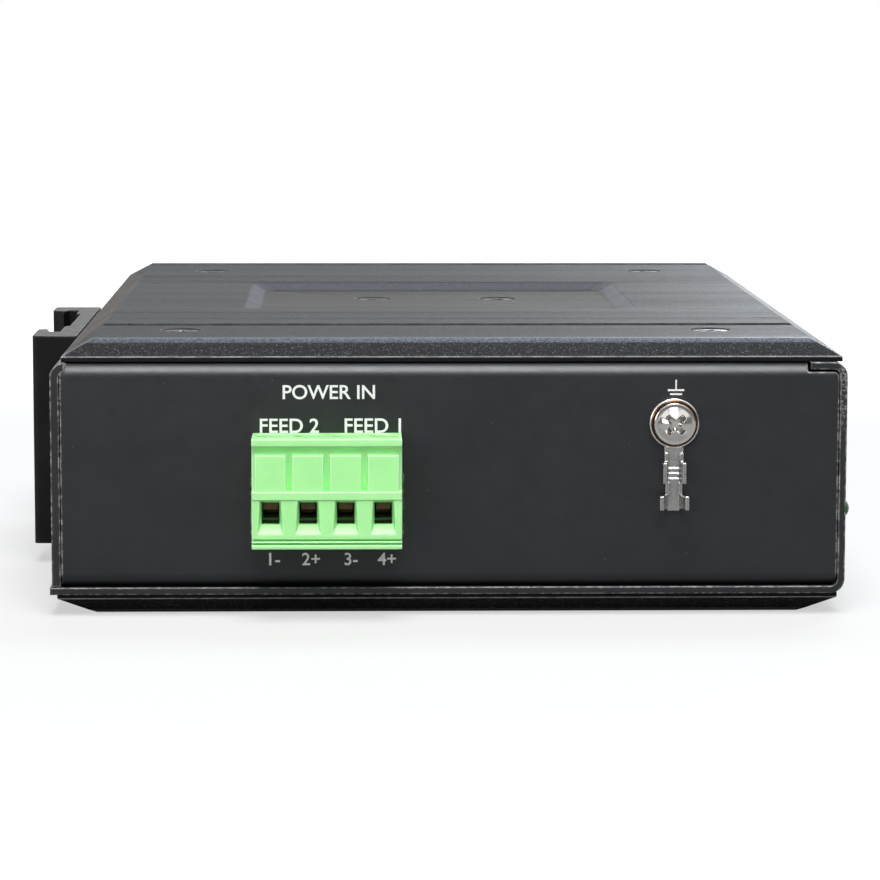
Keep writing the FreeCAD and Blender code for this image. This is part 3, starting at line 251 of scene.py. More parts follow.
def scuffed_end(look):
    """Flecks of bare metal on the front panel's cut edge at the terminal end, near its top."""
    x, y, z = look.axes()
    panel = look.within(x, COVER_HIGH.x, mm(1.1), mm(0.2))
    cut_edge = look.within(y, COVER_LOW.y, mm(0.3), mm(0.2))
    flecks = look.span(look.noise(mm(0.3), 4), 0.5, 0.64, 0, 0.45)
    near_top = look.span(z, mm(25), mm(29), 0, 1)
    return look.product(panel, cut_edge, flecks, near_top)


def powder_coat():
    """Black powder coat on folded sheet: fine grain, dust, and a paler wear on the cut edges."""
    deep, pale = (0.0045, 0.0045, 0.005), (0.0075, 0.0075, 0.0085)
    dust_grey, bare_metal = (0.3, 0.3, 0.29), (0.55, 0.54, 0.52)
    look = Look("case_black", (0.006, 0.006, 0.007), 0.42, specular=0.74)
    look.fill(look.shader, {"Specular Tint": (0.93, 0.96, 1.0, 1.0)})
    shade = look.mixed(look.span(look.noise(mm(9), 3), 0.35, 0.65, 0, 1), deep, pale)
    dust = look.span(look.noise(mm(0.4), 0), 0.86, 0.88, 0, 0.2)
    shade = look.mixed(dust, shade, dust_grey)
    chips = look.span(look.noise(mm(0.7), 4), 0.44, 0.6, 0.1, 0.8)
    handled = look.span(look.axes()[2], mm(4), mm(7), 0.6, 1)
    wear = look.product(look.edges(mm(0.35), 15), chips, handled)
    wear = look.worked("MAXIMUM", wear, scuffed_end(look))
    look.paint(look.mixed(wear, shade, bare_metal))
    look.rough(look.mottle(mm(2.2), 3, 0.39, 0.45))
    look.bump(look.noise(mm(0.22), 2), mm(0.02), 0.7, under=look.rounded(mm(0.4)))
    return look.material


def ridges(look):
    """1 on the narrow ridges beside the plates' end bevels, else 0."""
    return look.within(look.off(look.axes()[1], 0), RIDGE_Y, RIDGE_HALF, mm(0.15))


def above_lip(look, beyond):
    """0 on a plate's upright lip, 1 at the lip's outer edge and a set value beyond it."""
    away = look.off(look.axes()[2], CASE_MIDDLE)
    start = look.span(away, LIP_TOP - mm(0.2), LIP_TOP - mm(0.05), 0, 1)
    return look.product(start, look.span(away, LIP_TOP + mm(0.2), LIP_TOP + mm(0.5), 1, beyond))


def in_pocket(look, inset, soft):
    """1 over the upper plate's pocket, less a margin all round, else 0."""
    x, y, _ = look.axes()
    across = look.within(x, 0, POCKET_HALF_X - inset, soft)
    return look.product(across, look.within(y, POCKET_Y, POCKET_HALF_Y - inset, soft))


def blasted_floor(look):
    """1 on the floor of the upper plate's pocket, else 0."""
    level = look.within(look.axes()[2], PLATE_HIGH.z - POCKET_DEPTH, mm(0.1), mm(0.1))
    return look.product(in_pocket(look, POCKET_SLOPE + mm(0.1), mm(0.2)), level)


def pocket_slopes(look):
    """1 on the sloping sides of the upper plate's pocket, else 0."""
    half = POCKET_DEPTH / 2
    level = look.within(look.axes()[2], PLATE_HIGH.z - half, half - mm(0.15), mm(0.1))
    return look.product(in_pocket(look, mm(0.1), mm(0.1)), level)


def flat_faces(look):
    """1 on the plates' flat outer faces, else 0."""
    return look.within(look.off(look.axes()[2], CASE_MIDDLE), CASE_MIDDLE, FACE_DEPTH, mm(0.1))


def long_bevels(look):
    """1 on faces that lean towards either end of X, else 0."""
    normal = look.add("ShaderNodeTexCoord").outputs["Normal"]
    return look.span(look.off(look.split(normal)[0], 0), 0.3, 0.45, 0, 1)


def coated_extrusion():
    """Black coated aluminium: drawn lines along X, a grain with painted glints, a painted warm reflection on
    the bevels at either end of X, a painted bluish highlight on the ridges, a painted paler sheen on the
    pocket's slopes, and edges worn to the metal, with a painted highlight along the lips.
    """
    deep, pale = (0.0036, 0.0036, 0.0038), (0.0058, 0.0058, 0.0063)
    # Painted light among these colours: the slopes' paler blue sheen, the bevels' warm reflection, the
    # ridges' blue highlight and the grey glints.
    floor_brown, slope_sheen_blue = (0.017, 0.0145, 0.0115), (0.036, 0.038, 0.045)
    bevel_warm_reflection, ridge_highlight_blue = (0.034, 0.027, 0.022), (0.095, 0.107, 0.13)
    glint_grey, bare_metal = (0.15, 0.155, 0.17), (0.62, 0.63, 0.65)
    look = Look("plate_black", (0.0045, 0.0045, 0.0047), 0.56, specular=0.165)
    line = look.noise(mm(0.3), 2, look.stretched(0.015, 1, 1))
    shade = look.mixed(look.span(line, *NOISE_RANGE, 0, 1), deep, pale)
    shade = look.mixed(blasted_floor(look), shade, floor_brown)
    # painted sheen: the pocket's sloping sides are drawn paler and bluer
    shade = look.mixed(pocket_slopes(look), shade, slope_sheen_blue)
    # painted reflection: faces that lean towards either end of X are tinted warm brown
    shade = look.mixed(long_bevels(look), shade, bevel_warm_reflection)
    ridge = ridges(look)
    # painted highlight: a patchy pale blue along the ridges beside the end bevels
    highlight_patches = look.span(look.noise(mm(0.3), 2), 0.35, 0.65, 0.2, 1)
    shade = look.mixed(look.product(ridge, highlight_patches), shade, ridge_highlight_blue)
    # painted glints: pale grey specks, fine ones above the lips' outer edges and faint coarse ones on the
    # flat faces
    fine = look.span(look.noise(mm(0.15), 0), 0.7, 0.8, 0, 1)
    coarse = look.span(look.noise(mm(0.7), 2), 0.55, 0.75, 0, 0.2)
    spark = look.product(fine, above_lip(look, 1))
    spark = look.worked("MAXIMUM", spark, look.product(coarse, flat_faces(look)))
    shade = look.mixed(spark, shade, glint_grey)
    # edge wear to bare metal: weak on most edges, full along each lip's outer edge, where it is a painted
    # highlight
    rubbed = look.span(look.noise(mm(2.5), 3), 0.35, 0.6, 0.5, 1)
    wear = look.product(look.edges(mm(0.22), 10), rubbed, above_lip(look, 0.16))
    look.paint(look.mixed(wear, shade, bare_metal))
    bands = look.noise(mm(5), 3, look.stretched(0.02, 1, 1))
    dull = look.span(bands, 0.35, 0.65, 0.54, 0.61)
    look.rough(look.worked("SUBTRACT", dull, look.product(ridge, 0.1)))
    grain = look.bump(look.noise(mm(0.2), 1), mm(0.07), 0.9, under=look.rounded(mm(0.15)))
    look.bump(line, mm(0.006), 0.4, under=grain)
    return look.material


def matt_coat():
    """Smooth dull black of the rail clip, rubbed at its edges."""
    deep, pale, rubbed_grey = (0.0045, 0.0045, 0.0045), (0.008, 0.008, 0.008), (0.10, 0.098, 0.094)
    look = Look("clip_black", (0.006, 0.006, 0.006), 0.38, specular=0.2)
    shade = look.mixed(look.mottle(mm(6), 3), deep, pale)
    rubbed = look.span(look.noise(mm(1.8), 3), 0.45, 0.65, 0, 0.6)
    wear = look.product(look.edges(mm(0.35), 14), rubbed)
    look.paint(look.mixed(wear, shade, rubbed_grey))
    look.rough(look.mottle(mm(1.5), 3, 0.33, 0.43))
    look.bump(look.noise(mm(0.25), 2), mm(0.01), 0.4, under=look.rounded(mm(0.35)))
    return look.material


def print_ink():
    """White screen print with slightly open coverage."""
    thin, full = (0.76, 0.76, 0.76), (0.9, 0.9, 0.9)
    look = Look("print_white", (0.83, 0.83, 0.83), 0.55)
    look.paint(look.mixed(look.mottle(mm(0.25), 2), thin, full))
    look.bump(look.noise(mm(0.12), 2), mm(0.004), 0.3)
    return look.material


# Materials of the smaller pieces


def moulded(name, color, roughness, spread=0.06, grain=0.006, edge=0.05, light=0.1):
    """Moulded plastic with a faint mottle, a fine spark-eroded surface, soft edges painted paler as a
    highlight, and painted shade in corners and recesses.
    """
    pale = tuple(min(1.0, c * (1 + spread)) for c in color)
    deep = tuple(c * (1 - spread) for c in color)
    rim = tuple(0.5 * c + 0.5 for c in pale)
    recess = tuple(c ** 1.8 * 0.95 for c in color)
    look = Look(name, color, roughness, specular=0.38)
    shade = look.mixed(look.mottle(mm(3.5), 3), deep, pale)
    # painted highlight: edges mixed towards a paler rim colour, by the share that light gives
    shade = look.mixed(look.product(look.edges(mm(0.22), 14), light), shade, rim)
    # painted shade: corners and recesses mixed towards a darker, deeper copy of the colour
    look.paint(look.mixed(look.openness(mm(0.9), 0.15, 0.68), recess, shade))
    look.rough(look.mottle(mm(0.9), 3, roughness * 0.9, roughness * 1.12))
    look.bump(look.noise(mm(0.14), 2), mm(grain), 0.5, under=look.rounded(mm(edge)))
    return look.material


def plated(name, color, roughness, lines=None, tarnish=0.1, edge=0.03, scratches=0.004, rim=0.3):
    """Plated metal: fine scratches, cloudy polish, a little tarnish, painted shade in corners and recesses,
    and edges painted bright as a highlight.
    """
    dull = tuple(c * (1 - tarnish) for c in color)
    recess_shade = tuple(c * 0.22 for c in color)
    whiter = tuple(0.25 * c + 0.75 * max(color) for c in color)
    bright = tuple(min(1.0, c * 1.35) for c in whiter)
    look = Look(name, color, roughness, metallic=1.0)
    shade = look.mixed(look.span(look.noise(mm(1.6), 4), 0.35, 0.7, 0, 1), color, dull)
    # painted shade: corners and recesses mixed towards a dark copy of the colour
    shade = look.mixed(look.openness(mm(0.7), 0.35, 0.85), recess_shade, shade)
    # painted highlight: edges mixed towards a paler, whiter copy, by the share that rim gives
    look.paint(look.mixed(look.product(look.edges(mm(0.3), 14), rim), shade, bright))
    scratch = look.noise(mm(0.12), 3, look.stretched(*lines) if lines else None)
    look.rough(look.span(scratch, *NOISE_RANGE, roughness * 0.75, roughness * 1.35))
    look.bump(scratch, mm(scratches), 0.35, under=look.rounded(mm(edge)))
    return look.material


def bronze_faced():
    """Bright earth washer whose face carries a brown ring round the screw's head."""
    inner, outer = EARTH_HEAD_R, mm(3.18)
    bright, deep_brown, pale_brown = (0.80, 0.79, 0.77), (0.10, 0.045, 0.022), (0.22, 0.11, 0.06)
    look = Look("washer_bronze", (0.78, 0.77, 0.75), 0.2, metallic=1.0)
    away = look.add("ShaderNodeVectorMath", operation="DISTANCE")
    look.fill(away, {0: look.stretched(1, 0, 1), 1: (EARTH_MIDDLE.x, 0, EARTH_MIDDLE.z)})
    radius = away.outputs["Value"]
    inside = look.span(radius, outer, outer + mm(0.06), 1, 0)
    ring = look.product(look.span(radius, inner - mm(0.05), inner, 0, 1), inside)
    brown = look.mixed(look.noise(mm(0.5), 3), deep_brown, pale_brown)
    look.paint(look.mixed(ring, bright, brown))
    look.rough(look.mottle(mm(0.3), 3, 0.16, 0.3))
    look.bump(look.noise(mm(0.15), 2), mm(0.004), 0.3)
    return look.material


def tinted_resin():
    """Clear green lamp resin with a slightly uneven tint."""
    deep, pale = (0.014, 0.13, 0.022), (0.03, 0.20, 0.04)
    look = Look("lamp_green", (0.02, 0.16, 0.03), 0.12)
    look.fill(look.shader, {"Transmission Weight": 0.2, "IOR": 1.5})
    look.paint(look.mixed(look.mottle(mm(1.2), 2), deep, pale))
    look.bump(look.noise(mm(0.5), 1), mm(0.003), 0.2)
    return look.material


def solder_mask():
    """Green board: mask over copper runs, slightly uneven."""
    over_board, over_copper = (0.02, 0.13, 0.055), (0.035, 0.19, 0.08)
    look = Look("board_green", (0.02, 0.14, 0.06), 0.3)
    run = look.add("ShaderNodeTexBrick")
    look.fill(run, {"Scale": 90.0, "Mortar Size": 0.03, "Vector": look.place})
    look.paint(look.mixed(run.outputs["Fac"], over_board, over_copper))
    look.rough(look.mottle(mm(2.0), 3, 0.25, 0.38))
    look.bump(run.outputs["Fac"], mm(0.03), 0.5)
    return look.material


LOOKS = {
    "case_black": powder_coat(),
    "plate_black": coated_extrusion(),
    "screw_nickel": plated("screw_nickel", (0.50, 0.49, 0.47), 0.2),
    "nut_zinc": plated("nut_zinc", (0.55, 0.55, 0.54), 0.34),
    "spring_steel": plated("spring_steel", (0.45, 0.45, 0.46), 0.28, lines=(1, 1, 0.05)),
    "earth_bright": plated("earth_bright", (0.82, 0.80, 0.76), 0.1, tarnish=0.12),
    # rim sets the strength of the painted edge highlight on plated metal
    "lug_tin": plated("lug_tin", (0.56, 0.55, 0.535), 0.24, lines=(1, 1, 0.3), tarnish=0.3,
                      edge=0.3, scratches=0.001, rim=0.5),
    # the plug's edges carry a strong painted highlight
    "plug_green": moulded("plug_green", (0.41, 0.91, 0.35), 0.34, spread=0.03, edge=0.16, light=0.9),
    "contact_brass": plated("contact_brass", (0.14, 0.10, 0.05), 0.34, tarnish=0.3),
    "board_green": solder_mask(),
    "lamp_green": tinted_resin(),
    "holder_black": moulded("holder_black", (0.02, 0.02, 0.021), 0.45),
    "shield_nickel": plated("shield_nickel", (0.66, 0.65, 0.62), 0.26, lines=(0.1, 1, 1)),
    "wire_gold": plated("wire_gold", (0.83, 0.58, 0.22), 0.2),
    "chip_black": moulded("chip_black", (0.018, 0.018, 0.02), 0.5),
    "pad_grey": moulded("pad_grey", (0.33, 0.36, 0.40), 0.7),
    "block_bare": plated("block_bare", (0.70, 0.70, 0.71), 0.36, lines=(1, 0.05, 1)),
    "can_silver": plated("can_silver", (0.60, 0.61, 0.63), 0.28),
    "ferrite": moulded("ferrite", (0.045, 0.045, 0.05), 0.6, spread=0.2, grain=0.02),
}
WASHER_LOOK = bronze_faced()
SCREW_LOOK = plated("screw_dark", (0.10, 0.10, 0.105), 0.3, tarnish=0.3)
CLIP_LOOK = matt_coat()
PRINT_LOOK = print_ink()
SLOT_OF = {row["node"]: row["material_slot"] for row in frame["record"]["subparts"]}


def dress(obj, material):
    """Gives an object one material in place of those it has."""
    obj.data.materials.clear()
    obj.data.materials.append(material)


for name, node in NODES.items():
    dress(node, CLIP_LOOK if name == "din_clip" else LOOKS[SLOT_OF[name]])


# Softened edges

SHARP_EDGE = math.radians(32)
FOLDED = ("chassis_tray", "front_cover", "din_clip", "earth_lug")
EDGE_ROUNDS = {
    "side_plate_upper": mm(0.06),
    "side_plate_lower": mm(0.06),
    "terminal_plug": mm(0.12),
    "plug_contacts": mm(0.08),
    "clamp_cages": mm(0.08),
    "clamp_screws": mm(0.08),
    "copper_jack_shield": mm(0.06),
    "copper_jack_insert": mm(0.1),
    "fibre_cage": mm(0.05),
}


def smooth_group():
    """Node group that shades every face smoothly."""
    group = bpy.data.node_groups.new("shade_smoothly", "GeometryNodeTree")
    group.interface.new_socket("Geometry", in_out="INPUT", socket_type="NodeSocketGeometry")
    group.interface.new_socket("Geometry", in_out="OUTPUT", socket_type="NodeSocketGeometry")
    start = group.nodes.new("NodeGroupInput")
    shade = group.nodes.new("GeometryNodeSetShadeSmooth")
    end = group.nodes.new("NodeGroupOutput")
    group.links.new(start.outputs[0], shade.inputs["Geometry"])
    group.links.new(shade.outputs[0], end.inputs[0])
    return group


SMOOTH = smooth_group()


def weld_points(obj):
    weld = obj.modifiers.new("weld", "WELD")
    weld.merge_threshold = mm(0.002)


def shade_smoothly(obj):
    smooth = obj.modifiers.new("smooth", "NODES")
    smooth.node_group = SMOOTH


def soften(obj, width):
    """Small rounds along a piece's sharp edges."""
    weld_points(obj)
    bevel = obj.modifiers.new("bevel", "BEVEL")
    bevel.width = width
    bevel.segments = 2
    bevel.limit_method = "ANGLE"
    bevel.angle_limit = SHARP_EDGE
    bevel.use_clamp_overlap = False
    bevel.loop_slide = False
    bevel.miter_outer = "MITER_ARC"
    shade_smoothly(obj)
    even = obj.modifiers.new("even", "WEIGHTED_NORMAL")
    even.weight = 80
    even.keep_sharp = False


def smooth_folds(obj):
    """Smooth shading over round folds, with the sharp edges kept."""
    weld_points(obj)
    shade_smoothly(obj)
    split = obj.modifiers.new("split", "EDGE_SPLIT")
    split.split_angle = SHARP_EDGE


for name in FOLDED:
    smooth_folds(NODES[name])
for name, width in EDGE_ROUNDS.items():
    soften(NODES[name], width)


# Mesh helpers


def piece(bm, name, body, slot, material=None):
    """A finished mesh as a piece that rides on a body."""
    bmesh.ops.recalc_face_normals(bm, faces=bm.faces)
    mesh = bpy.data.meshes.new(name)
    bm.to_mesh(mesh)
    bm.free()
    mesh.shade_smooth()
    mesh.set_sharp_from_angle(angle=math.radians(35))
    obj = bpy.data.objects.new(name, mesh)
    SCENE.collection.objects.link(obj)
    mesh.materials.append(material or LOOKS[slot])
    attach(obj, body)
    return obj


def facing(middle, axis, turn=0.0):
    """Matrix that puts local +Z on an axis at a place, turned about it by an angle in degrees."""
    swing = Vector(axis).to_track_quat("Z", "Y").to_matrix().to_4x4()
    return Matrix.Translation(middle) @ swing @ Matrix.Rotation(math.radians(turn), 4, "Z")


def arc(middle_x, middle_y, radius_x, radius_y, start, end, steps):
    """Points along an arc about a middle, from one angle in degrees to another."""
    angles = [math.radians(start + (end - start) * i / steps) for i in range(steps + 1)]
    return [(middle_x + radius_x * math.cos(a), middle_y + radius_y * math.sin(a)) for a in angles]


def circle(bm, place, radius, height, count):
    """A ring of points about local Z."""
    spots = arc(0, 0, radius, radius, 0, 360, count)[:count]
    return [bm.verts.new(place @ Vector((x, y, height))) for x, y in spots]


def band(bm, first, second):
    """Faces between two loops of as many points."""
    for i in range(len(first)):
        bm.faces.new((first[i - 1], first[i], second[i], second[i - 1]))


def turned(bm, place, profile, count):
    """A turned form through (radius, height) points; returns its first and last rings."""
    rings = [circle(bm, place, radius, height, count) for radius, height in profile]
    for first, second in zip(rings, rings[1:]):
        band(bm, first, second)
    return rings[0], rings[-1]


def cross_loop(bm, place, arm, half, fillet, height):
    """Corners of a cross recess: four arms with rounded inner corners."""
    inner = half + fillet
    run = [(arm, -half), (arm + half * 0.25, 0.0), (arm, half)]
    run += arc(inner, inner, fillet, fillet, -90, -180, 5)
    spots = []
    for quarter in range(4):
        spin = Matrix.Rotation(math.radians(90 * quarter), 4, "Z")
        spots += [bm.verts.new(place @ spin @ Vector((x, y, height))) for x, y in run]
    return spots


def cross_recess(bm, place, rim, arm, half, fillet, depth):
    """Flat top inside the ring of a head, with a tapering cross recess sunk in it."""
    mouth = cross_loop(bm, place, arm, half, fillet, 0.0)
    edges = []
    for loop in (rim, mouth):
        for i in range(len(loop)):
            ends = (loop[i - 1], loop[i])
            edges.append(bm.edges.get(ends) or bm.edges.new(ends))
    bmesh.ops.triangle_fill(bm, use_beauty=True, use_dissolve=False, edges=edges)
    waist = cross_loop(bm, place, arm * 0.86, half * 0.86, fillet * 0.9, -depth * 0.55)
    foot = cross_loop(bm, place, arm * 0.45, half * 0.55, fillet * 0.5, -depth)
    band(bm, mouth, waist)
    band(bm, waist, foot)
    bm.faces.new(foot)


def evaluated_mesh(obj):
    """A new mesh of an object as it stands after its modifiers."""
    bpy.context.view_layer.update()
    return bpy.data.meshes.new_from_object(obj.evaluated_get(bpy.context.evaluated_depsgraph_get()))


def cut_away(solid, punch):
    """What is left of one closed mesh once another is taken from it."""
    objects = []
    for bm in (solid, punch):
        bmesh.ops.recalc_face_normals(bm, faces=bm.faces)
        mesh = bpy.data.meshes.new("blank")
        bm.to_mesh(mesh)
        bm.free()
        obj = bpy.data.objects.new("blank", mesh)
        SCENE.collection.objects.link(obj)
        objects.append(obj)
    cut = objects[0].modifiers.new("cut", "BOOLEAN")
    cut.operation = "DIFFERENCE"
    cut.solver = "EXACT"
    cut.object = objects[1]
    mesh = evaluated_mesh(objects[0])
    left = bmesh.new()
    left.from_mesh(mesh)
    for blank in [mesh] + [obj.data for obj in objects]:
        bpy.data.meshes.remove(blank)
    return left


# Sunk screws


def sunk_screws(name, node, spots, axis, length, turn):
    """Countersunk cross-head screws with a small rim, in place of plain ones."""
    chamfer = mm(0.15)
    turn_step = 31
    profile = [
        (SUNK_RIM - chamfer, 0), (SUNK_RIM - chamfer * 0.3, -chamfer * 0.3), (SUNK_RIM, -chamfer),
        (SHANK_R, SHANK_R - SUNK_RIM), (SHANK_R, SHANK_TIP - length), (SHANK_R - SHANK_TIP, -length),
    ]
    bm = bmesh.new()
    for i, spot in enumerate(spots):
        place = facing(spot, axis, turn + turn_step * i)
        top, tip = turned(bm, place, profile, 64)
        bm.faces.new(tip)
        cross_recess(bm, place, top, arm=mm(1.55), half=mm(0.36), fillet=mm(0.3), depth=mm(1.15))
    obj = piece(bm, name, "housing", "screw_nickel", SCREW_LOOK)
    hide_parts(node)


def first_and_last(low, high):
    """Middles of the outer two heads along one axis of the screws' box."""
    return low + SUNK_RIM, high - SUNK_RIM


def plate_screws(name, node, axis, turn):
    """Four screws at the corners of a side plate."""
    low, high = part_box(node)
    face = high.z if axis == UP else low.z
    xs = first_and_last(low.x, high.x)
    ys = first_and_last(low.y, high.y)
    spots = [Vector((x, y, face)) for x in xs for y in ys]
    sunk_screws(name, node, spots, axis, high.z - low.z, turn)


def pocket_screws():
    """Two screws in the floor of the upper plate's pocket."""
    low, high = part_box("pocket_screws")
    y = (low.y + high.y) / 2
    spots = [Vector((x, y, high.z)) for x in first_and_last(low.x, high.x)]
    sunk_screws("screws_in_pocket", "pocket_screws", spots, UP, high.z - low.z, 20)


def clip_screws():
    """Two screws that hold the rail clip."""
    low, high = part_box("clip_screws")
    z = (low.z + high.z) / 2
    spots = [Vector((low.x, y, z)) for y in first_and_last(low.y, high.y)]
    sunk_screws("screws_in_clip", "clip_screws", spots, BACK, high.x - low.x, 5)


plate_screws("plate_screws_upper", "upper_plate_screws", UP, 12)
plate_screws("plate_screws_lower", "lower_plate_screws", DOWN, 40)
pocket_screws()
clip_screws()


# Earth connection, lamps and the plug's front


def head_profile(length):
    """Half section of the earth screw, from its crown to its tip: a dome on a flat collar, and the shank."""
    height, dome, crown, rise, steps = mm(2.1), mm(2.3), mm(0.95), mm(0.3), 16
    slant, corner, bevel, foot = mm(0.04), mm(0.2), mm(0.06), mm(0.12)
    collar = -crown - rise
    curve = [(dome * i / steps, -crown * (i / steps) ** 2) for i in range(1, steps + 1)]
    return curve + [
        (dome + slant, collar), (EARTH_HEAD_R - corner, collar), (EARTH_HEAD_R - bevel, collar - bevel),
        (EARTH_HEAD_R, collar - corner), (EARTH_HEAD_R, foot - height), (EARTH_HEAD_R - foot, -height),
        (SHANK_R, -height), (SHANK_R, SHANK_TIP - length), (SHANK_R - SHANK_TIP, -length),
    ]


def earth_head():
    """Cross-head screw of the earth connection."""
    low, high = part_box("earth_screw")
    place = facing(Vector((EARTH_MIDDLE.x, low.y, EARTH_MIDDLE.z)), OUT, 45)
    solid = bmesh.new()
    top, tip = turned(solid, place, head_profile(high.y - low.y), 96)
    solid.faces.new(top)
    solid.faces.new(tip)
    punch = bmesh.new()
    arm, half, fillet, depth = mm(1.75), mm(0.5), mm(0.2), mm(1.5)
    sections = ((1.05, -0.2), (0.88, 0.55), (0.5, 0.95))
    mouth, waist, foot = [cross_loop(punch, place, arm * size, half * size, fillet * size, -depth * down)
                          for size, down in sections]
    punch.faces.new(mouth)
    band(punch, mouth, waist)
    band(punch, waist, foot)
    punch.faces.new(foot)
    obj = piece(cut_away(solid, punch), "earth_screw_domed", "housing", "earth_bright")
    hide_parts("earth_screw")


def earth_ring():
    """Washer with a rolled outer edge."""
    low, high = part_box("earth_washer")
    place = facing(Vector((EARTH_MIDDLE.x, high.y, EARTH_MIDDLE.z)), OUT)
    inner, face_end, outer, thick = mm(1.6), mm(3.12), mm(3.45), high.y - low.y
    chamfer = mm(0.08)
    face = thick - mm(0.06)
    roll = thick * 0.48
    profile = [(inner, 0), (inner, thick - chamfer), (inner + chamfer, face), (face_end, face)]
    profile += arc(outer - roll, thick / 2, roll, thick / 2, 90, -90, 8)
    bm = bmesh.new()
    first, last = turned(bm, place, profile, 96)
    band(bm, last, first)
    obj = piece(bm, "earth_washer_rolled", "housing", "earth_bright", WASHER_LOOK)
    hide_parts("earth_washer")


def lamp_domes():
    """Indicator lamps with hemispherical tips."""
    low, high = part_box("led_lenses")
    z = (low.z + high.z) / 2
    barrel = high.x - low.x - LAMP_R
    pitch = (high.y - low.y - 2 * LAMP_R) / (LAMP_COUNT - 1)
    profile = [(LAMP_R, 0)] + arc(0, barrel, LAMP_R, LAMP_R, 0, 90, 10)[:-1]
    bm = bmesh.new()
    for i in range(LAMP_COUNT):
        place = facing(Vector((low.x, low.y + LAMP_R + i * pitch, z)), FORWARD)
        first, last = turned(bm, place, profile, 32)
        bm.faces.new(first)
        bm.faces.new(last)
    obj = piece(bm, "lamp_domes", "housing", "lamp_green")
    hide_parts("led_lenses")


def plug_front_band():
    """Band that stands proud of the plug's front, between its raised squares and its wire holes."""
    low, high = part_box("terminal_plug")
    foot = low.z + mm(6.74)
    head = low.z + mm(7.85)
    chamfer, inset = mm(0.07), mm(0.1)
    front = low.y - mm(0.16)
    profile = [
        (low.y, foot), (front + chamfer, foot), (front, foot + chamfer),
        (front, head - chamfer), (front + chamfer, head), (low.y, head),
    ]
    bm = bmesh.new()
    ends = [[bm.verts.new((x, y, z)) for y, z in profile] for x in (low.x + inset, high.x - inset)]
    band(bm, *ends)
    for end in ends:
        bm.faces.new(end)
    piece(bm, "plug_front_band", "plug", "plug_green")


earth_head()
earth_ring()
lamp_domes()
plug_front_band()


# Print on the terminal end

INK = mm(0.02)                            # thickness of the print
INK_SPREAD = 0.013                        # strokes are widened by this share of the letters' size

# Piece, words, their middle along X, their foot above the floor and the height of capitals, in millimetres
PRINTED = (
    ("print_supply", "POWER IN", -16.5, 30.05, 1.9),
    ("print_feed_2", "FEED 2", -21.9, 25.4, 1.95),
    ("print_feed_1", "FEED 1", -10.5, 25.4, 1.95),
    ("print_pole_1", "1-", -24.0, 7.1, 1.7),
    ("print_pole_2", "2+", -19.0, 7.1, 1.7),
    ("print_pole_3", "3-", -13.5, 7.1, 1.7),
    ("print_pole_4", "4+", -8.6, 7.1, 1.7),
)

# Stem, long bar and short bar of the earth sign: left, right, foot and head of each, in millimetres
EARTH_SIGN = (
    (30.85, 31.05, 31.3, 32.6),
    (29.83, 32.07, 31.05, 31.3),
    (30.13, 31.77, 30.5, 30.75),
)


def words(name, text, middle, foot, height):
    """Screen-printed words on the end wall."""
    data = bpy.data.curves.new(name, "FONT")
    data.body = text
    data.offset = INK_SPREAD
    obj = bpy.data.objects.new(name + "_source", data)
    SCENE.collection.objects.link(obj)
    mesh = evaluated_mesh(obj)
    bpy.data.objects.remove(obj)
    xs = [v.co.x for v in mesh.vertices]
    centre = (max(xs) + min(xs)) / 2
    scale = mm(height) / max(v.co.y for v in mesh.vertices)
    bm = bmesh.new()
    bm.from_mesh(mesh)
    bpy.data.meshes.remove(mesh)
    for v in bm.verts:
        v.co = Vector((mm(middle) + (v.co.x - centre) * scale, END_WALL - INK, mm(foot) + v.co.y * scale))
    bmesh.ops.remove_doubles(bm, verts=bm.verts, dist=1e-7)
    backs = bmesh.ops.extrude_face_region(bm, geom=list(bm.faces))
    for v in [g for g in backs["geom"] if isinstance(g, bmesh.types.BMVert)]:
        v.co.y = END_WALL
    piece(bm, name, "housing", "case_black", PRINT_LOOK)


def earth_sign():
    """The common earth sign, printed above the earth screw."""
    bm = bmesh.new()
    for left, right, foot, head in EARTH_SIGN:
        corners = [mm(x, 0, z) for x, z in ((left, foot), (right, foot), (right, head), (left, head))]
        front, back = [[bm.verts.new((c.x, y, c.z)) for c in corners] for y in (END_WALL - INK, END_WALL)]
        bm.faces.new(front)
        bm.faces.new(back)
        band(bm, front, back)
    piece(bm, "print_earth", "housing", "case_black", PRINT_LOOK)


for row in PRINTED:
    words(*row)
earth_sign()


# Floor and surroundings

FLOOR_HALF = 3.0
FLOOR_DROP = mm(0.05)                     # floor below the part, so that no faces coincide
PAPER = (0.27, 0.27, 0.27, 1.0)
LIFT_NEAR = 0.56                          # how far the camera sees the floor lifted to white beside the part
LIFT_START, LIFT_END = 0.14, 0.4
SOFT_LEVEL = 0.2                          # light of the surroundings
WHITE_LEVEL = 1.0                         # what the camera and mirrors see of them
WHITE = (1.0, 1.0, 1.0, 1.0)
ABOVE_MIDDLE = 0.62                       # sine of the height of the band that mirrors see as white


def seen_in_mirrors(nodes, path):
    """1 for mirror and see-through rays, else 0."""
    return nodes.worked("MAXIMUM", path.outputs["Is Glossy Ray"], path.outputs["Is Transmission Ray"])


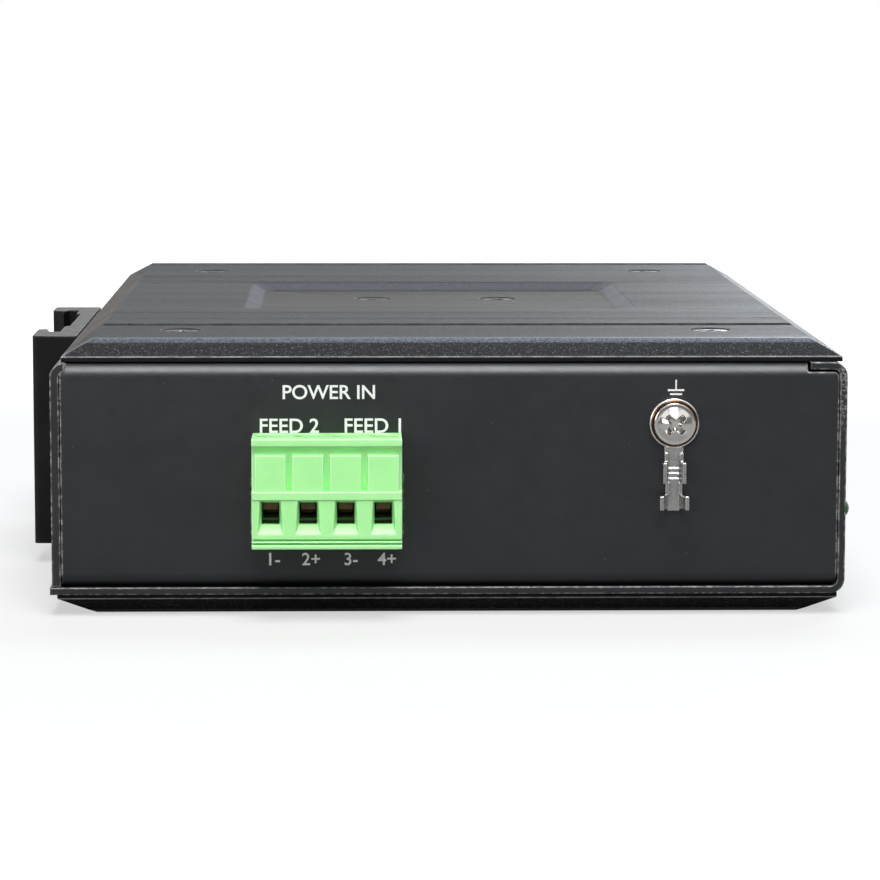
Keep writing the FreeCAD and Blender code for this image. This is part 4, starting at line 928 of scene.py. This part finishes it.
def paper_look():
    """Pale paper that takes the shadow, and that the camera sees fade to white further out."""
    material = bpy.data.materials.new("floor")
    material.use_nodes = True
    nodes = Nodes(material.node_tree)
    nodes.tree.nodes.clear()
    place = nodes.add("ShaderNodeTexCoord").outputs["Object"]
    path = nodes.add("ShaderNodeLightPath")
    away = nodes.add("ShaderNodeVectorMath", operation="LENGTH")
    nodes.link(place, away.inputs[0])
    lift = nodes.fade(away.outputs["Value"], LIFT_START, LIFT_END, LIFT_NEAR)
    direct = nodes.product(path.outputs["Is Camera Ray"], lift)
    behind = nodes.fade(nodes.split(place)[1], 0.0, 0.5, 0.0)
    mirrored = nodes.product(seen_in_mirrors(nodes, path), behind)
    paper = nodes.add("ShaderNodeBsdfDiffuse")
    nodes.fill(paper, {"Color": PAPER})
    glow = nodes.add("ShaderNodeEmission")
    nodes.fill(glow, {"Strength": nodes.worked("ADD", direct, mirrored)})
    both = nodes.add("ShaderNodeAddShader")
    nodes.fill(both, {0: paper.outputs[0], 1: glow.outputs[0]})
    nodes.link(both.outputs[0], nodes.add("ShaderNodeOutputMaterial").inputs["Surface"])
    return material


def floor():
    """A wide sheet just under the part."""
    half = FLOOR_HALF
    corners = [(-half, -half, 0), (half, -half, 0), (half, half, 0), (-half, half, 0)]
    mesh = bpy.data.meshes.new("floor")
    mesh.from_pydata(corners, [], [(0, 1, 2, 3)])
    mesh.materials.append(paper_look())
    obj = bpy.data.objects.new("floor", mesh)
    obj.location.z = -FLOOR_DROP
    SCENE.collection.objects.link(obj)


def surroundings():
    """Soft light all round; the camera sees white, and so do mirrors behind the part and in a band above."""
    world = bpy.data.worlds.new("studio")
    SCENE.world = world
    world.use_nodes = True
    nodes = Nodes(world.node_tree)
    nodes.tree.nodes.clear()
    path = nodes.add("ShaderNodeLightPath")
    _, y, z = nodes.split(nodes.add("ShaderNodeTexCoord").outputs["Generated"])
    behind = nodes.fade(y, 0.05, 0.5, 0.0)
    above = nodes.fade(nodes.off(z, ABOVE_MIDDLE), 0.35, 0.15, 0.0)
    mirrored = nodes.product(seen_in_mirrors(nodes, path), nodes.worked("MAXIMUM", behind, above))
    soft = nodes.add("ShaderNodeBackground")
    nodes.fill(soft, {"Color": WHITE, "Strength": SOFT_LEVEL})
    white = nodes.add("ShaderNodeBackground")
    nodes.fill(white, {"Color": WHITE, "Strength": WHITE_LEVEL})
    either = nodes.add("ShaderNodeMixShader")
    seen = nodes.worked("MAXIMUM", path.outputs["Is Camera Ray"], mirrored)
    nodes.fill(either, {0: seen, 1: soft.outputs[0], 2: white.outputs[0]})
    nodes.link(either.outputs[0], nodes.add("ShaderNodeOutputWorld").inputs["Surface"])


floor()
surroundings()


# Lamps and camera

DAYLIGHT = (0.84, 0.92, 1.0)
PALE_BLUE = (0.88, 0.94, 1.0)
CAMERA_PLACE = mm(-13.228, -535.368, 82.539)
YAW = 0.0258                              # radians, as are the next two
PITCH = 0.1254
ROLL = 0.0016
FOCAL_PIXELS = 3401.88
IMAGE_PIXELS = 880.0
SENSOR_WIDTH = 36.0                       # millimetres, as the camera's settings take it


def softbox(name, place, target, width, height, watts, color=(1, 1, 1)):
    """A rectangular lamp at a place, turned to a target."""
    data = bpy.data.lights.new(name, "AREA")
    data.shape = "RECTANGLE"
    data.size = width
    data.size_y = height
    data.energy = watts
    data.color = color
    obj = bpy.data.objects.new(name, data)
    obj.location = place
    obj.rotation_mode = "QUATERNION"
    obj.rotation_quaternion = (Vector(target) - Vector(place)).to_track_quat("-Z", "Y")
    obj.visible_camera = False
    SCENE.collection.objects.link(obj)


def camera():
    """The photograph's viewpoint, as fitted to the case's corners, screws and terminal."""
    level = math.cos(PITCH)
    ahead = Vector((math.sin(YAW) * level, math.cos(YAW) * level, -math.sin(PITCH)))
    right = Vector((math.cos(YAW), -math.sin(YAW), 0))
    up = right.cross(ahead)
    side = math.cos(ROLL) * right + math.sin(ROLL) * up
    top = -math.sin(ROLL) * right + math.cos(ROLL) * up
    data = bpy.data.cameras.new("camera")
    data.sensor_width = SENSOR_WIDTH
    data.lens = FOCAL_PIXELS * SENSOR_WIDTH / IMAGE_PIXELS
    data.clip_start = 0.01
    obj = bpy.data.objects.new("camera", data)
    swing = Matrix((side, top, -ahead)).transposed().to_4x4()
    obj.matrix_world = Matrix.Translation(CAMERA_PLACE) @ swing
    SCENE.collection.objects.link(obj)
    SCENE.camera = obj


softbox("key", (0.02, -0.52, 0.84), (0.02, -0.03, 0.03), width=0.45, height=0.75, watts=11.6)
softbox("top_back", (0.12, 0.4, 0.75), (0.02, 0, 0.03), width=0.6, height=0.32, watts=4.0, color=DAYLIGHT)
softbox("front", (-1.1, -1.25, 0.33), (0, 0, 0.02), width=0.9, height=0.5, watts=5.8)
softbox("right_back", (0.32, 0.9, 0.26), (0.03, 0, 0.03), width=0.35, height=0.22, watts=2.8, color=PALE_BLUE)
camera()
SCENE.view_settings.view_transform = "Standard"
